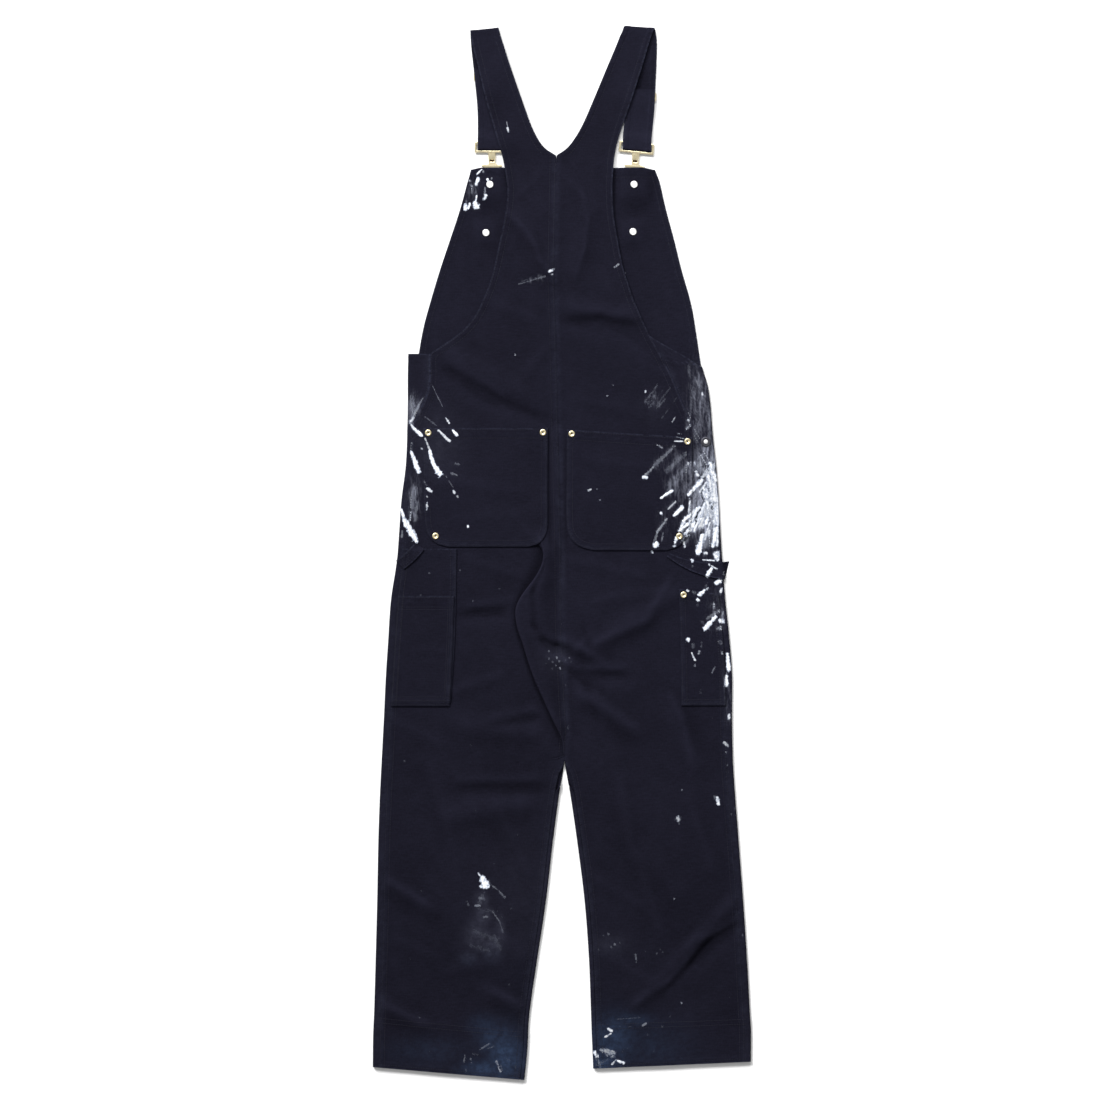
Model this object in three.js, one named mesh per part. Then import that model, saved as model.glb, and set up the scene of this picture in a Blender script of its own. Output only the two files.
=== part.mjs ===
// Paint spattered bib overalls, laid flat and face down, seen from the back.
// Millimetres. X runs right and Y runs up as the garment lies, Z rises from the floor.
// Every piece of cloth is a thin wall through rows of section points.

import * as THREE from "three";

// Driving sizes of the cloth
const WALL = 1.2;
const SEAM_GAP = 0.3;
const FLOOR_LEVEL = WALL / 2;
const UPPER_LEVEL = 3.8;
const FOLD_RADIUS = (UPPER_LEVEL - FLOOR_LEVEL) / 2;
const FOLD_REACH = FOLD_RADIUS + WALL / 2;
const PATCH_LIFT = 0.45;

// Driving sizes of the garment
const WAIST_Y = 278.6;
const CROTCH_Y = -291;
const NECK_Y = 556;
const HIP_END_Y = 127;
const LEG_SEAM_INSET = 8.4;
const INSEAM_INSET = 6.2;
const STRAP_WIDTH = 40;
const STRAP_JOIN_Y = 722;
const STRAP_STEPS = 3;
const PLEAT_LIFT = 3.2;
const CENTRE_SHIFT = { x: 0.08, y: -0.375 };

// Driving sizes of the metal
const BUCKLE_WIDTH = 49;
const BUCKLE_THICK = 1.8;
const SLIDER_THICK = 1.4;
const RIVET_DIAMETER = 9.6;
const CAP_DIAMETER = 10.6;
const BUTTON_DIAMETER = 17;

// Outline of hips and legs, a row for each section down the garment
const LEG_OUTLINE = [
  { y: 279, outerLeft: -215.0, innerLeft: 0, innerRight: 0, outerRight: 196.0 },
  { y: 249, outerLeft: -215.8, innerLeft: 0, innerRight: 0, outerRight: 203.5 },
  { y: 214, outerLeft: -215.8, innerLeft: 0, innerRight: 0, outerRight: 207.5 },
  { y: 172, outerLeft: -216.5, innerLeft: 0, innerRight: 0, outerRight: 210.5 },
  { y: 123, outerLeft: -218.6, innerLeft: 0, innerRight: 0, outerRight: 215.6 },
  { y: 74, outerLeft: -224.7, innerLeft: 0, innerRight: 0, outerRight: 219.5 },
  { y: 25, outerLeft: -228.2, innerLeft: 0, innerRight: 0, outerRight: 222.0 },
  { y: -10, outerLeft: -231.0, innerLeft: 0, innerRight: 0, outerRight: 224.3 },
  { y: -66, outerLeft: -239.4, innerLeft: 0, innerRight: 0, outerRight: 228.6 },
  { y: -122, outerLeft: -243.2, innerLeft: 0, innerRight: 0, outerRight: 234.5 },
  { y: -171, outerLeft: -246.4, innerLeft: 0, innerRight: 0, outerRight: 238.0 },
  { y: -234, outerLeft: -249.4, innerLeft: 0, innerRight: 0, outerRight: 238.0 },
  { y: -291, outerLeft: -252.4, innerLeft: 3.0, innerRight: 3.6, outerRight: 239.2 },
  { y: -339, outerLeft: -254.8, innerLeft: -4.2, innerRight: 11.8, outerRight: 242.2 },
  { y: -402, outerLeft: -257.0, innerLeft: -12.6, innerRight: 21.0, outerRight: 247.1 },
  { y: -486, outerLeft: -258.6, innerLeft: -22.4, innerRight: 31.5, outerRight: 253.4 },
  { y: -570, outerLeft: -260.8, innerLeft: -35.0, innerRight: 37.8, outerRight: 259.0 },
  { y: -640, outerLeft: -262.8, innerLeft: -46.0, innerRight: 40.4, outerRight: 262.5 },
  { y: -682, outerLeft: -264.4, innerLeft: -48.6, innerRight: 42.0, outerRight: 264.4 },
  { y: -740, outerLeft: -264.6, innerLeft: -55.0, innerRight: 44.6, outerRight: 263.6 },
];

// Line of the centre back seam
const CENTRE_SEAM = [
  { y: 556, x: -8.0 },
  { y: 494, x: -9.1 },
  { y: 389, x: -11.2 },
  { y: 298, x: -8.4 },
  { y: 172, x: -5.6 },
  { y: 10, x: -1.4 },
  { y: -101, x: -0.7 },
  { y: -206, x: 4.2 },
  { y: -248, x: 7.0 },
  { y: -291, x: 3.4 },
];

// Outer edges of the high back and its straps
const BACK_EDGES = [
  { y: 740, left: -129.5, right: 129.6 },
  { y: 711, left: -125.3, right: 121.1 },
  { y: 676, left: -116.6, right: 110.6 },
  { y: 634, left: -106.6, right: 97.3 },
  { y: 599, left: -96.6, right: 85.0 },
  { y: 578, left: -90.3, right: 78.4 },
  { y: 554, left: -83.3, right: 73.2 },
  { y: 533, left: -79.4, right: 71.4 },
  { y: 508, left: -76.2, right: 70.3 },
  { y: 473, left: -79.4, right: 72.1 },
  { y: 438, left: -86.8, right: 77.7 },
  { y: 399, left: -95.2, right: 85.4 },
  { y: 375, left: -102.2, right: 93.1 },
  { y: 354, left: -110.6, right: 100.1 },
  { y: 333, left: -121.1, right: 109.2 },
  { y: 315, left: -135.1, right: 117.5 },
  { y: 302, left: -150.2, right: 124.0 },
  { y: 288, left: -170.5, right: 131.5 },
  { y: 279, left: -183.6, right: 136.6 },
  { y: 249, left: -184.6, right: 151.9 },
  { y: 225, left: -187.5, right: 161.7 },
  { y: 203, left: -196.5, right: 170.8 },
  { y: 186, left: -205.0, right: 178.5 },
  { y: 172, left: -210.8, right: 183.4 },
  { y: 151, left: -213.0, right: 194.6 },
  { y: 127, left: -214.6, right: 209.0 },
];

// Neck edges, where the two backs part above the centre seam
const NECK_EDGES = [
  { y: 740, left: -91.0, right: 87.5 },
  { y: 711, left: -81.9, right: 76.3 },
  { y: 676, left: -70.7, right: 61.6 },
  { y: 634, left: -56.0, right: 44.1 },
  { y: 599, left: -43.4, right: 28.7 },
  { y: 578, left: -33.0, right: 16.5 },
  { y: 565, left: -22.5, right: 5.6 },
  { y: 556, left: -8.15, right: -7.85 },
];

// Side edges of the bib
const BIB_EDGES = [
  { y: 539, left: -127.4, right: 130.2 },
  { y: 522, left: -131.6, right: 135.8 },
  { y: 480, left: -143.0, right: 145.6 },
  { y: 438, left: -156.8, right: 156.8 },
  { y: 396, left: -170.8, right: 167.3 },
  { y: 354, left: -183.4, right: 179.2 },
  { y: 312, left: -194.6, right: 188.3 },
  { y: 250, left: -205.0, right: 200.0 },
];

// Knife pleat left of the centre seam: where its edge shows and how far it doubles under
const PLEAT = [
  { y: 8, edge: -26, under: 0, turned: 0 },
  { y: -14, edge: -32, under: 1, turned: 1 },
  { y: -34, edge: -39, under: 10, turned: 1 },
  { y: -60, edge: -59, under: 32, turned: 1 },
  { y: -78, edge: -67, under: 41, turned: 1 },
  { y: -101, edge: -64.5, under: 39, turned: 1 },
  { y: -123, edge: -57.5, under: 32, turned: 1 },
  { y: -172, edge: -40.6, under: 16, turned: 1 },
  { y: -205, edge: -28, under: 4, turned: 1 },
  { y: -224, edge: -19, under: 0, turned: 1 },
  { y: -250, edge: -6, under: 0, turned: 0 },
];

// Largest creases of the upper cloth, each a ridge or trough between two places
const CREASES = [
  { fromX: -155, fromY: 251, toX: -107, toY: 220, width: 13, height: -1.6 },
  { fromX: -107, fromY: 220, toX: -18, toY: 185, width: 12, height: -1.4 },
  { fromX: -150, fromY: 274, toX: -60, toY: 228, width: 15, height: 2.4 },
  { fromX: 17, fromY: 323, toX: 91, toY: 314, width: 12, height: -1.4 },
  { fromX: 91, fromY: 314, toX: 132, toY: 272, width: 11, height: -1.4 },
  { fromX: 20, fromY: 345, toX: 86, toY: 336, width: 13, height: 2.2 },
  { fromX: -62, fromY: 470, toX: -18, toY: 395, width: 14, height: 2.2 },
  { fromX: 42, fromY: 480, toX: 20, toY: 400, width: 14, height: 2.0 },
  { fromX: -127, fromY: -87, toX: -80, toY: -81, width: 11, height: -1.5 },
  { fromX: -130, fromY: -240, toX: -40, toY: -250, width: 16, height: 2.6 },
  { fromX: -133, fromY: -330, toX: -41, toY: -330, width: 12, height: -1.8 },
  { fromX: -150, fromY: -365, toX: -60, toY: -352, width: 17, height: 2.8 },
  { fromX: -238, fromY: -462, toX: -194, toY: -490, width: 12, height: 2.4 },
  { fromX: -110, fromY: -520, toX: -60, toY: -560, width: 16, height: 2.2 },
  { fromX: -256, fromY: -630, toX: -199, toY: -654, width: 12, height: 2.6 },
  { fromX: -92, fromY: -613, toX: -60, toY: -627, width: 10, height: 2.0 },
  { fromX: 34, fromY: -172, toX: 80, toY: -172, width: 11, height: -1.6 },
  { fromX: 52, fromY: -125, toX: 150, toY: -62, width: 14, height: 3.0 },
  { fromX: 36, fromY: -202, toX: 99, toY: -245, width: 14, height: 3.0 },
  { fromX: 155, fromY: -226, toX: 182, toY: -290, width: 13, height: 2.6 },
  { fromX: 234, fromY: -493, toX: 183, toY: -546, width: 13, height: 4.0 },
  { fromX: 183, fromY: -546, toX: 109, toY: -627, width: 14, height: 3.8 },
  { fromX: 244, fromY: -524, toX: 188, toY: -564, width: 12, height: -1.8 },
  { fromX: 120, fromY: -420, toX: 160, toY: -470, width: 18, height: 2.0 },
];

// Soft swellings where the layers hold a little air
const SWELLS = [
  { x: -110, y: 120, reachX: 75, reachY: 110, height: 1.4 },
  { x: 95, y: 110, reachX: 70, reachY: 110, height: 1.4 },
  { x: -20, y: 420, reachX: 60, reachY: 90, height: 1.2 },
  { x: -150, y: -150, reachX: 60, reachY: 120, height: 1.4 },
  { x: 120, y: -150, reachX: 60, reachY: 130, height: 1.5 },
  { x: -150, y: -480, reachX: 60, reachY: 160, height: 1.7 },
  { x: 145, y: -450, reachX: 60, reachY: 180, height: 1.7 },
  { x: -98, y: 664, reachX: 30, reachY: 36, height: 3.0 },
  { x: 104, y: 640, reachX: 28, reachY: 30, height: 2.6 },
  { x: -82, y: 582, reachX: 24, reachY: 24, height: 3.4 },
  { x: -84, y: 520, reachX: 16, reachY: 34, height: 1.6 },
  { x: 78, y: 520, reachX: 18, reachY: 34, height: 2.0 },
];

// What the bib rides over on the floor: hooks and button heads
const BIB_RAISES = [
  { x: -99.6, y: 526, reachX: 20, reachY: 34, height: 4.7 },
  { x: -106.4, y: 448, reachX: 17, reachY: 17, height: 1.75 },
  { x: 101.4, y: 525, reachX: 22, reachY: 35, height: 5.0 },
  { x: 99.4, y: 449.4, reachX: 17, reachY: 17, height: 1.75 },
];

// Middle line of each shoulder strap down its front
const STRAP_LINES = {
  left: [
    { y: 740, x: -108.6 },
    { y: 712, x: -107.2 },
    { y: 673, x: -103.2 },
    { y: 619, x: -98.2 },
    { y: 560, x: -97.9 },
  ],
  right: [
    { y: 740, x: 109.4 },
    { y: 720, x: 112.6 },
    { y: 686, x: 112.2 },
    { y: 649, x: 110.6 },
    { y: 619, x: 109.0 },
    { y: 580, x: 105.2 },
    { y: 560, x: 104.8 },
  ],
};

// Metal of the shoulders
const SLIDERS = {
  left: { x: -99.2, y: 666.4, turn: 0 },
  right: { x: 107.6, y: 638.4, turn: -1 },
};
const BUCKLES = {
  left: { x: -98.0, y: 561.8, turn: -0.6 },
  right: { x: 103.6, y: 561.0, turn: -6 },
};
const BIB_BUTTONS = [
  { name: "left_upper", x: -100.8, y: 515.2 },
  { name: "left_lower", x: -106.4, y: 448.0 },
  { name: "right_upper", x: 100.8, y: 515.2 },
  { name: "right_lower", x: 99.4, y: 449.4 },
];

// Patch pockets, bands and loops, a row for each section across the piece
const POCKET_LEFT = [
  { y: 174.6, left: -194.4, right: -20.0 },
  { y: 140, left: -194.0, right: -20.4 },
  { y: 90, left: -193.4, right: -20.6 },
  { y: 50, left: -192.6, right: -20.6 },
  { y: 32, left: -190.0, right: -21.4 },
  { y: 20, left: -183.0, right: -26.5 },
  { y: 12.4, left: -173.0, right: -35.0 },
  { y: 9.0, left: -160.0, right: -48.0 },
];
const POCKET_RIGHT = [
  { y: 172.6, left: 6.8, right: 181.6 },
  { y: 140, left: 6.4, right: 182.0 },
  { y: 90, left: 6.2, right: 182.0 },
  { y: 50, left: 6.0, right: 180.4 },
  { y: 30, left: 8.0, right: 177.4 },
  { y: 16, left: 16.0, right: 169.0 },
  { y: 8.0, left: 28.0, right: 160.0 },
  { y: 4.0, left: 44.0, right: 146.0 },
];
const TOOL_TALL = [
  { y: 6.0, left: -223.2, right: -147.6 },
  { y: -63, left: -230.0, right: -148.4 },
  { y: -130, left: -234.6, right: -150.4 },
  { y: -209, left: -239.4, right: -155.8 },
];
const TOOL_SHORT = [
  { y: -60, left: -229.6, right: -151.0 },
  { y: -140, left: -235.0, right: -153.6 },
  { y: -214, left: -239.6, right: -157.6 },
];
const TOOL_RIGHT = [
  { y: -50, left: 163.4, right: 218.4 },
  { y: -134, left: 165.8, right: 226.6 },
  { y: -213, left: 166.8, right: 229.0 },
];

const round = (value) => Math.round(value * 1e4) / 1e4;
const clamp = (value) => Math.min(1, Math.max(0, value));
const ease = (value) => clamp(value) ** 2 * (3 - 2 * clamp(value));
const mix = (a, b, t) => a + (b - a) * t;

// Smooth value of one column of a table at a height along it
function across(table, column, y) {
  const rising = table[0].y < table[table.length - 1].y;
  const rows = rising ? table : [...table].reverse();
  if (y <= rows[0].y) return rows[0][column];
  const last = rows.length - 1;
  if (y >= rows[last].y) return rows[last][column];
  let i = 0;
  while (rows[i + 1].y < y) i += 1;
  const slope = (k) => {
    const low = Math.max(0, k - 1);
    const high = Math.min(last, k + 1);
    return (rows[high][column] - rows[low][column]) / (rows[high].y - rows[low].y);
  };
  const span = rows[i + 1].y - rows[i].y;
  const t = (y - rows[i].y) / span;
  const start = (2 * t ** 3 - 3 * t ** 2 + 1) * rows[i][column] + (t ** 3 - 2 * t ** 2 + t) * span * slope(i);
  const end = (3 * t ** 2 - 2 * t ** 3) * rows[i + 1][column] + (t ** 3 - t ** 2) * span * slope(i + 1);
  return start + end;
}

function centreSeam(y) {
  const rows = CENTRE_SEAM;
  const i = rows.findIndex((row) => row.y <= Math.max(y, CROTCH_Y));
  if (i <= 0) return rows[0].x;
  return mix(rows[i - 1].x, rows[i].x, (rows[i - 1].y - Math.max(y, CROTCH_Y)) / (rows[i - 1].y - rows[i].y));
}

// How far the inseam lies inside the fold of the inner leg
const inseamInset = (y) => INSEAM_INSET * ease((CROTCH_Y - y) / 22);

// How far the inner fold of a front leg has curled over, from flat to a half turn
const innerCurl = (y) => ease((CROTCH_Y - 24 - y) / 22);

// Rows shared by both sides of a seam, so that its two edges stay one gap apart
const FRONT_LEVELS = [
  WAIST_Y - SEAM_GAP, 258, 236, 212, 186, 160, 127, 80, 30, -25, -90, -171, -240,
  -291, -306, -318, -328, -342, -380, -430, -486, -540, -600, -650, -690, -721,
];
const seamRows = (side) => FRONT_LEVELS.map((level) => level + lipRise(side, level, 0));

// Value of a smooth line drawn straight between given rows
function straightBetween(rows, smooth, y) {
  if (y >= rows[0] || y <= rows[rows.length - 1]) return smooth(y);
  const i = rows.findIndex((row) => row <= y);
  const t = (rows[i - 1] - y) / (rows[i - 1] - rows[i]);
  return mix(smooth(rows[i - 1]), smooth(rows[i]), t);
}

const SIDES = {
  left: { sign: -1, outer: "outerLeft", inner: "innerLeft" },
  right: { sign: 1, outer: "outerRight", inner: "innerRight" },
};
const sideKey = (side) => (side < 0 ? "left" : "right");

// Outer seam of the upper cloth: side opening on the hip, outseam down the leg
function outerSeam(side, y) {
  const key = sideKey(side);
  const outline = (at) => across(LEG_OUTLINE, SIDES[key].outer, at);
  if (y >= HIP_END_Y) return across(BACK_EDGES, key, y);
  const hipInset = Math.abs(outline(HIP_END_Y) - across(BACK_EDGES, key, HIP_END_Y));
  const inset = mix(hipInset, LEG_SEAM_INSET, ease((HIP_END_Y - y) / 120));
  return outline(y) - side * inset;
}

// Inner edge of the upper cloth: neck, centre back seam, inseam
function innerSeam(side, y) {
  const key = sideKey(side);
  if (y > NECK_Y) return across(NECK_EDGES, key, y);
  if (y >= CROTCH_Y) return centreSeam(y) + (side * SEAM_GAP) / 2;
  return across(LEG_OUTLINE, SIDES[key].inner, y) + side * (SEAM_GAP / 2 + inseamInset(y));
}

function backEdges(side, y) {
  const outer = straightBetween(seamRows(side), (at) => outerSeam(side, at), y);
  const inner = y < CROTCH_Y ? straightBetween(FRONT_LEVELS, (at) => innerSeam(side, at), y) : innerSeam(side, y);
  return { outer, inner };
}

// Own rows of a panel joined with the rows of its seams, none crowded
function panelLevels(side, own) {
  const shared = [...seamRows(side), ...CENTRE_SEAM.map((row) => row.y)].filter((y) => y < NECK_Y);
  const kept = [];
  for (const y of [...shared].sort((p, q) => q - p)) {
    if (!kept.length || kept[kept.length - 1] - y > 0.5) kept.push(y);
  }
  const extra = own.filter((y) => kept.every((row) => Math.abs(row - y) > 7));
  return [...kept, ...extra].sort((p, q) => q - p);
}

// Height that creases and swellings add to the upper cloth, fading to the folded edges
function relief(x, y) {
  let height = 0;
  for (const crease of CREASES) {
    const dx = crease.toX - crease.fromX;
    const dy = crease.toY - crease.fromY;
    const length = Math.hypot(dx, dy);
    const along = ((x - crease.fromX) * dx + (y - crease.fromY) * dy) / length;
    const aside = ((x - crease.fromX) * dy - (y - crease.fromY) * dx) / length;
    const beyond = Math.max(0, -along, along - length);
    height += crease.height * Math.exp(-(aside ** 2) / crease.width ** 2 - (beyond ** 2) / 400);
  }
  for (const swell of SWELLS) {
    const far = ((x - swell.x) / swell.reachX) ** 2 + ((y - swell.y) / swell.reachY) ** 2;
    height += swell.height * Math.exp(-far);
  }
  return Math.max(height, -1.4) * edgeFade(x, y);
}

function edgeFade(x, y) {
  if (y > WAIST_Y + 20) return 1;
  const side = x < 0 ? "Left" : "Right";
  const outerGap = Math.abs(across(LEG_OUTLINE, `outer${side}`, y) - x);
  let fade = ease((outerGap - 3) / 18);
  if (y < CROTCH_Y) {
    const innerGap = Math.abs(across(LEG_OUTLINE, `inner${side}`, y) - x);
    fade *= ease((innerGap - 3) / 16);
  } else {
    fade *= ease(Math.hypot(x - 3, y - CROTCH_Y) / 30);
  }
  return fade;
}

// The hems and the waist run a little slanted across the cloth
function slant(side, x, y) {
  const hem = ease((-560 - y) / 150);
  if (side < 0) return -18 * hem * clamp((x + 264) / 212) + 2 * hem;
  return 9.5 * hem * clamp((x - 44) / 218);
}
const waistLine = (x) => WAIST_Y - 18 * (Math.max(0, x) / 202) ** 2;

// Points of one piece to a closed wall, offset to both sides of its middle
function clothWall(rows, thickness = WALL) {
  const rowCount = rows.length;
  const columnCount = rows[0].length;
  const positions = [];
  for (const face of [0.5, -0.5]) {
    for (const row of rows) {
      row.forEach((point, j) => {
        const before = row[Math.max(0, j - 1)];
        const after = row[Math.min(columnCount - 1, j + 1)];
        const dx = after.x - before.x;
        const dz = after.z - before.z;
        const length = Math.hypot(dx, dz);
        const reach = thickness * face;
        positions.push(round(point.x - (dz / length) * reach));
        positions.push(round(point.y));
        positions.push(round(point.z + (dx / length) * reach));
      });
    }
  }
  return closedGrid(positions, rowCount, columnCount);
}

// Two equal grids of points, upper and lower, closed round their rim
function closedGrid(positions, rowCount, columnCount) {
  const faces = [];
  const at = (face, i, j) => (face * rowCount + i) * columnCount + j;
  const quad = (a, b, c, d) => faces.push(a, b, c, a, c, d);
  for (let i = 0; i + 1 < rowCount; i += 1) {
    for (let j = 0; j + 1 < columnCount; j += 1) {
      quad(at(0, i, j), at(0, i + 1, j), at(0, i + 1, j + 1), at(0, i, j + 1));
      quad(at(1, i, j), at(1, i, j + 1), at(1, i + 1, j + 1), at(1, i + 1, j));
    }
    const end = columnCount - 1;
    quad(at(0, i, 0), at(1, i, 0), at(1, i + 1, 0), at(0, i + 1, 0));
    quad(at(0, i, end), at(0, i + 1, end), at(1, i + 1, end), at(1, i, end));
  }
  for (let j = 0; j + 1 < columnCount; j += 1) {
    const end = rowCount - 1;
    quad(at(0, 0, j), at(0, 0, j + 1), at(1, 0, j + 1), at(1, 0, j));
    quad(at(0, end, j), at(1, end, j), at(1, end, j + 1), at(0, end, j + 1));
  }
  const geometry = new THREE.BufferGeometry();
  geometry.setAttribute("position", new THREE.Float32BufferAttribute(positions, 3));
  geometry.setIndex(faces);
  return facingOut(geometry);
}

function facingOut(geometry) {
  const place = geometry.getAttribute("position");
  const index = geometry.getIndex();
  const corner = (k) => new THREE.Vector3().fromBufferAttribute(place, index.getX(k));
  let volume = 0;
  for (let k = 0; k < index.count; k += 3) {
    volume += corner(k).dot(corner(k + 1).cross(corner(k + 2)));
  }
  if (volume < 0) {
    const turned = Array.from(index.array);
    for (let k = 0; k < turned.length; k += 3) [turned[k], turned[k + 1]] = [turned[k + 1], turned[k]];
    geometry.setIndex(turned);
  }
  geometry.computeVertexNormals();
  return geometry;
}

// Section of a front leg: hip lip on top, outer fold, floor, inner fold, inner lip
const LIP_STEPS = 3;
const FOLD_STEPS = 3;
const FLOOR_STEPS = 5;

function frontSection(side, level) {
  const outer = across(LEG_OUTLINE, SIDES[sideKey(side)].outer, level);
  const points = [];
  const foldCentre = outer - side * FOLD_REACH;
  for (let k = 0; k <= LIP_STEPS; k += 1) {
    const t = k / LIP_STEPS;
    const y = level + lipRise(side, level, t);
    const seam = backEdges(side, y).outer + side * SEAM_GAP;
    const x = mix(seam, foldCentre, t);
    points.push({ x, y: y + slant(side, x, y), z: UPPER_LEVEL + relief(x, y) });
  }
  for (let k = 1; k <= FOLD_STEPS; k += 1) {
    const angle = (Math.PI * k) / FOLD_STEPS;
    const x = foldCentre + side * FOLD_RADIUS * Math.sin(angle);
    const z = FLOOR_LEVEL + FOLD_RADIUS * (1 + Math.cos(angle));
    const y = level + lipRise(side, level, 1);
    points.push({ x, y: y + slant(side, x, y), z });
  }
  return points.concat(innerRun(side, level, foldCentre));
}

// Rise of the side part's upper edge on the right hip towards the back seam
function lipRise(side, level, t) {
  if (side < 0) return 0;
  const nearTop = ease((level - 190) / (WAIST_Y - 190));
  return nearTop * mix(25, -18, t ** 0.8);
}

function innerRun(side, level, foldCentre) {
  const toGap = -side;
  const curl = innerCurl(level);
  const arc = Math.PI * FOLD_RADIUS;
  const turn = Math.PI * curl;
  const radius = curl > 0.02 ? arc / turn : 1e6;
  const lip = SEAM_GAP + curl * (INSEAM_INSET - FOLD_REACH - 2 * SEAM_GAP);
  const flatEdge = centreSeam(level) + side * SEAM_GAP / 2;
  const foldEdge = across(LEG_OUTLINE, side < 0 ? "innerLeft" : "innerRight", level);
  const inner = level > CROTCH_Y ? flatEdge : foldEdge + side * SEAM_GAP / 2;
  const halfTurned = radius * Math.sin(turn) + lip * Math.cos(turn) + (WALL / 2) * Math.sin(turn);
  const reach = curl > 0.5 ? radius + WALL / 2 : halfTurned;
  const flatReach = curl > 0.02 ? reach : arc + lip;
  const start = inner - toGap * flatReach;
  const points = [];
  for (let k = 1; k <= FLOOR_STEPS; k += 1) {
    const x = mix(foldCentre, start, k / FLOOR_STEPS);
    const waistDrop = (waistLine(x) - WAIST_Y) * ease((level - 150) / (WAIST_Y - 150));
    const y = level + waistDrop;
    points.push({ x, y: y + slant(side, x, y), z: FLOOR_LEVEL });
  }
  for (let k = 1; k <= FOLD_STEPS; k += 1) {
    const part = k / FOLD_STEPS;
    const flat = { across: arc * part, up: 0 };
    const bent = { across: radius * Math.sin(turn * part), up: radius * (1 - Math.cos(turn * part)) };
    const shape = curl > 0.02 ? bent : flat;
    const x = start + toGap * shape.across;
    points.push({ x, y: level + slant(side, x, level), z: FLOOR_LEVEL + shape.up });
  }
  const tip = points[points.length - 1];
  const x = tip.x + toGap * lip * Math.cos(turn);
  points.push({ x, y: level + slant(side, x, level), z: tip.z + lip * Math.sin(turn) });
  return points;
}

function frontLeg(side) {
  return clothWall(FRONT_LEVELS.map((level) => frontSection(side, level)));
}

// Bib on the floor, raised over the hooks and the button heads
function bibHeight(x, y) {
  let height = 0;
  for (const raise of BIB_RAISES) {
    const farX = ((x - raise.x) / raise.reachX) ** 4;
    const farY = ((y - raise.y) / raise.reachY) ** 4;
    height = Math.max(height, raise.height * Math.exp(-farX - farY));
  }
  return FLOOR_LEVEL + height;
}

const BIB_LEVELS = [539, 529, 518, 506, 495, 483, 470, 461, 449, 437, 428, 400, 350, 310, WAIST_Y];
const BIB_STATIONS = [
  0, 0.045, 0.075, 0.105, 0.135, 0.165, 0.195, 0.24, 0.34, 0.5,
  0.59, 0.68, 0.76, 0.805, 0.835, 0.865, 0.895, 0.925, 0.955, 1,
];

function bib() {
  const rows = BIB_LEVELS.map((level) => BIB_STATIONS.map((t) => {
    const left = across(BIB_EDGES, "left", level);
    const right = across(BIB_EDGES, "right", level);
    const x = mix(left, right, t);
    const y = level + (waistLine(x) - WAIST_Y) * ease((350 - level) / 71);
    return { x, y, z: bibHeight(x, y) };
  }));
  return clothWall(rows);
}

// Rows of the two back panels, from the shoulder down
const BACK_TOP = STRAP_JOIN_Y - SEAM_GAP;
const BACK_ROWS = [
  BACK_TOP, 696, 668, 640, 610, 590, 576, 565, 524, 462, 425,
  362, 340, 324, 310, 289, 222, 198, 145, 104, 52,
];
const RIGHT_ROWS = [
  -50, -70, -115, -135, -190, -224, -266, -362, -405, -458, -510, -525, -556, -572, -586, -618,
];
const LEFT_ROWS = [
  -3, -13, -40, -56, -70, -82, -116, -133, -190, -220, -231, -266,
  -362, -405, -458, -512, -570, -625,
];

const RIGHT_STEPS = 9;

function backSectionRight(level) {
  const { outer, inner } = backEdges(1, level);
  const points = [];
  for (let k = 0; k <= RIGHT_STEPS; k += 1) {
    const x = mix(outer, inner, k / RIGHT_STEPS);
    points.push({ x, y: level + slant(1, x, level), z: UPPER_LEVEL + relief(x, level) });
  }
  return points;
}

// Back panel of the left side: the same, with the knife pleat near the centre seam
const LEFT_RUN_STEPS = 6;
const PLEAT_TURN_STEPS = 3;
const LEFT_TOP_STEPS = 3;

function backSectionLeft(level) {
  const { outer, inner } = backEdges(-1, level);
  const steps = LEFT_RUN_STEPS + 2 * PLEAT_TURN_STEPS + 1 + LEFT_TOP_STEPS;
  const turned = ease(across(PLEAT, "turned", level));
  const folded = turned > 0 ? pleatPath(level, outer, inner) : null;
  const points = [];
  for (let k = 0; k <= steps; k += 1) {
    const flatX = mix(outer, inner, flatShare(k, steps));
    const flatZ = UPPER_LEVEL + relief(flatX, level);
    const x = folded ? mix(flatX, folded[k].x, turned) : flatX;
    const z = folded ? mix(flatZ, folded[k].z, turned) : flatZ;
    points.push({ x, y: level + slant(-1, x, level), z });
  }
  return points;
}

// Share of the width at a column where the cloth lies unpleated
function flatShare(k, steps) {
  const outerShare = 0.72;
  if (k <= LEFT_RUN_STEPS) return (outerShare * k) / LEFT_RUN_STEPS;
  return outerShare + ((1 - outerShare) * (k - LEFT_RUN_STEPS)) / (steps - LEFT_RUN_STEPS);
}

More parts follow.
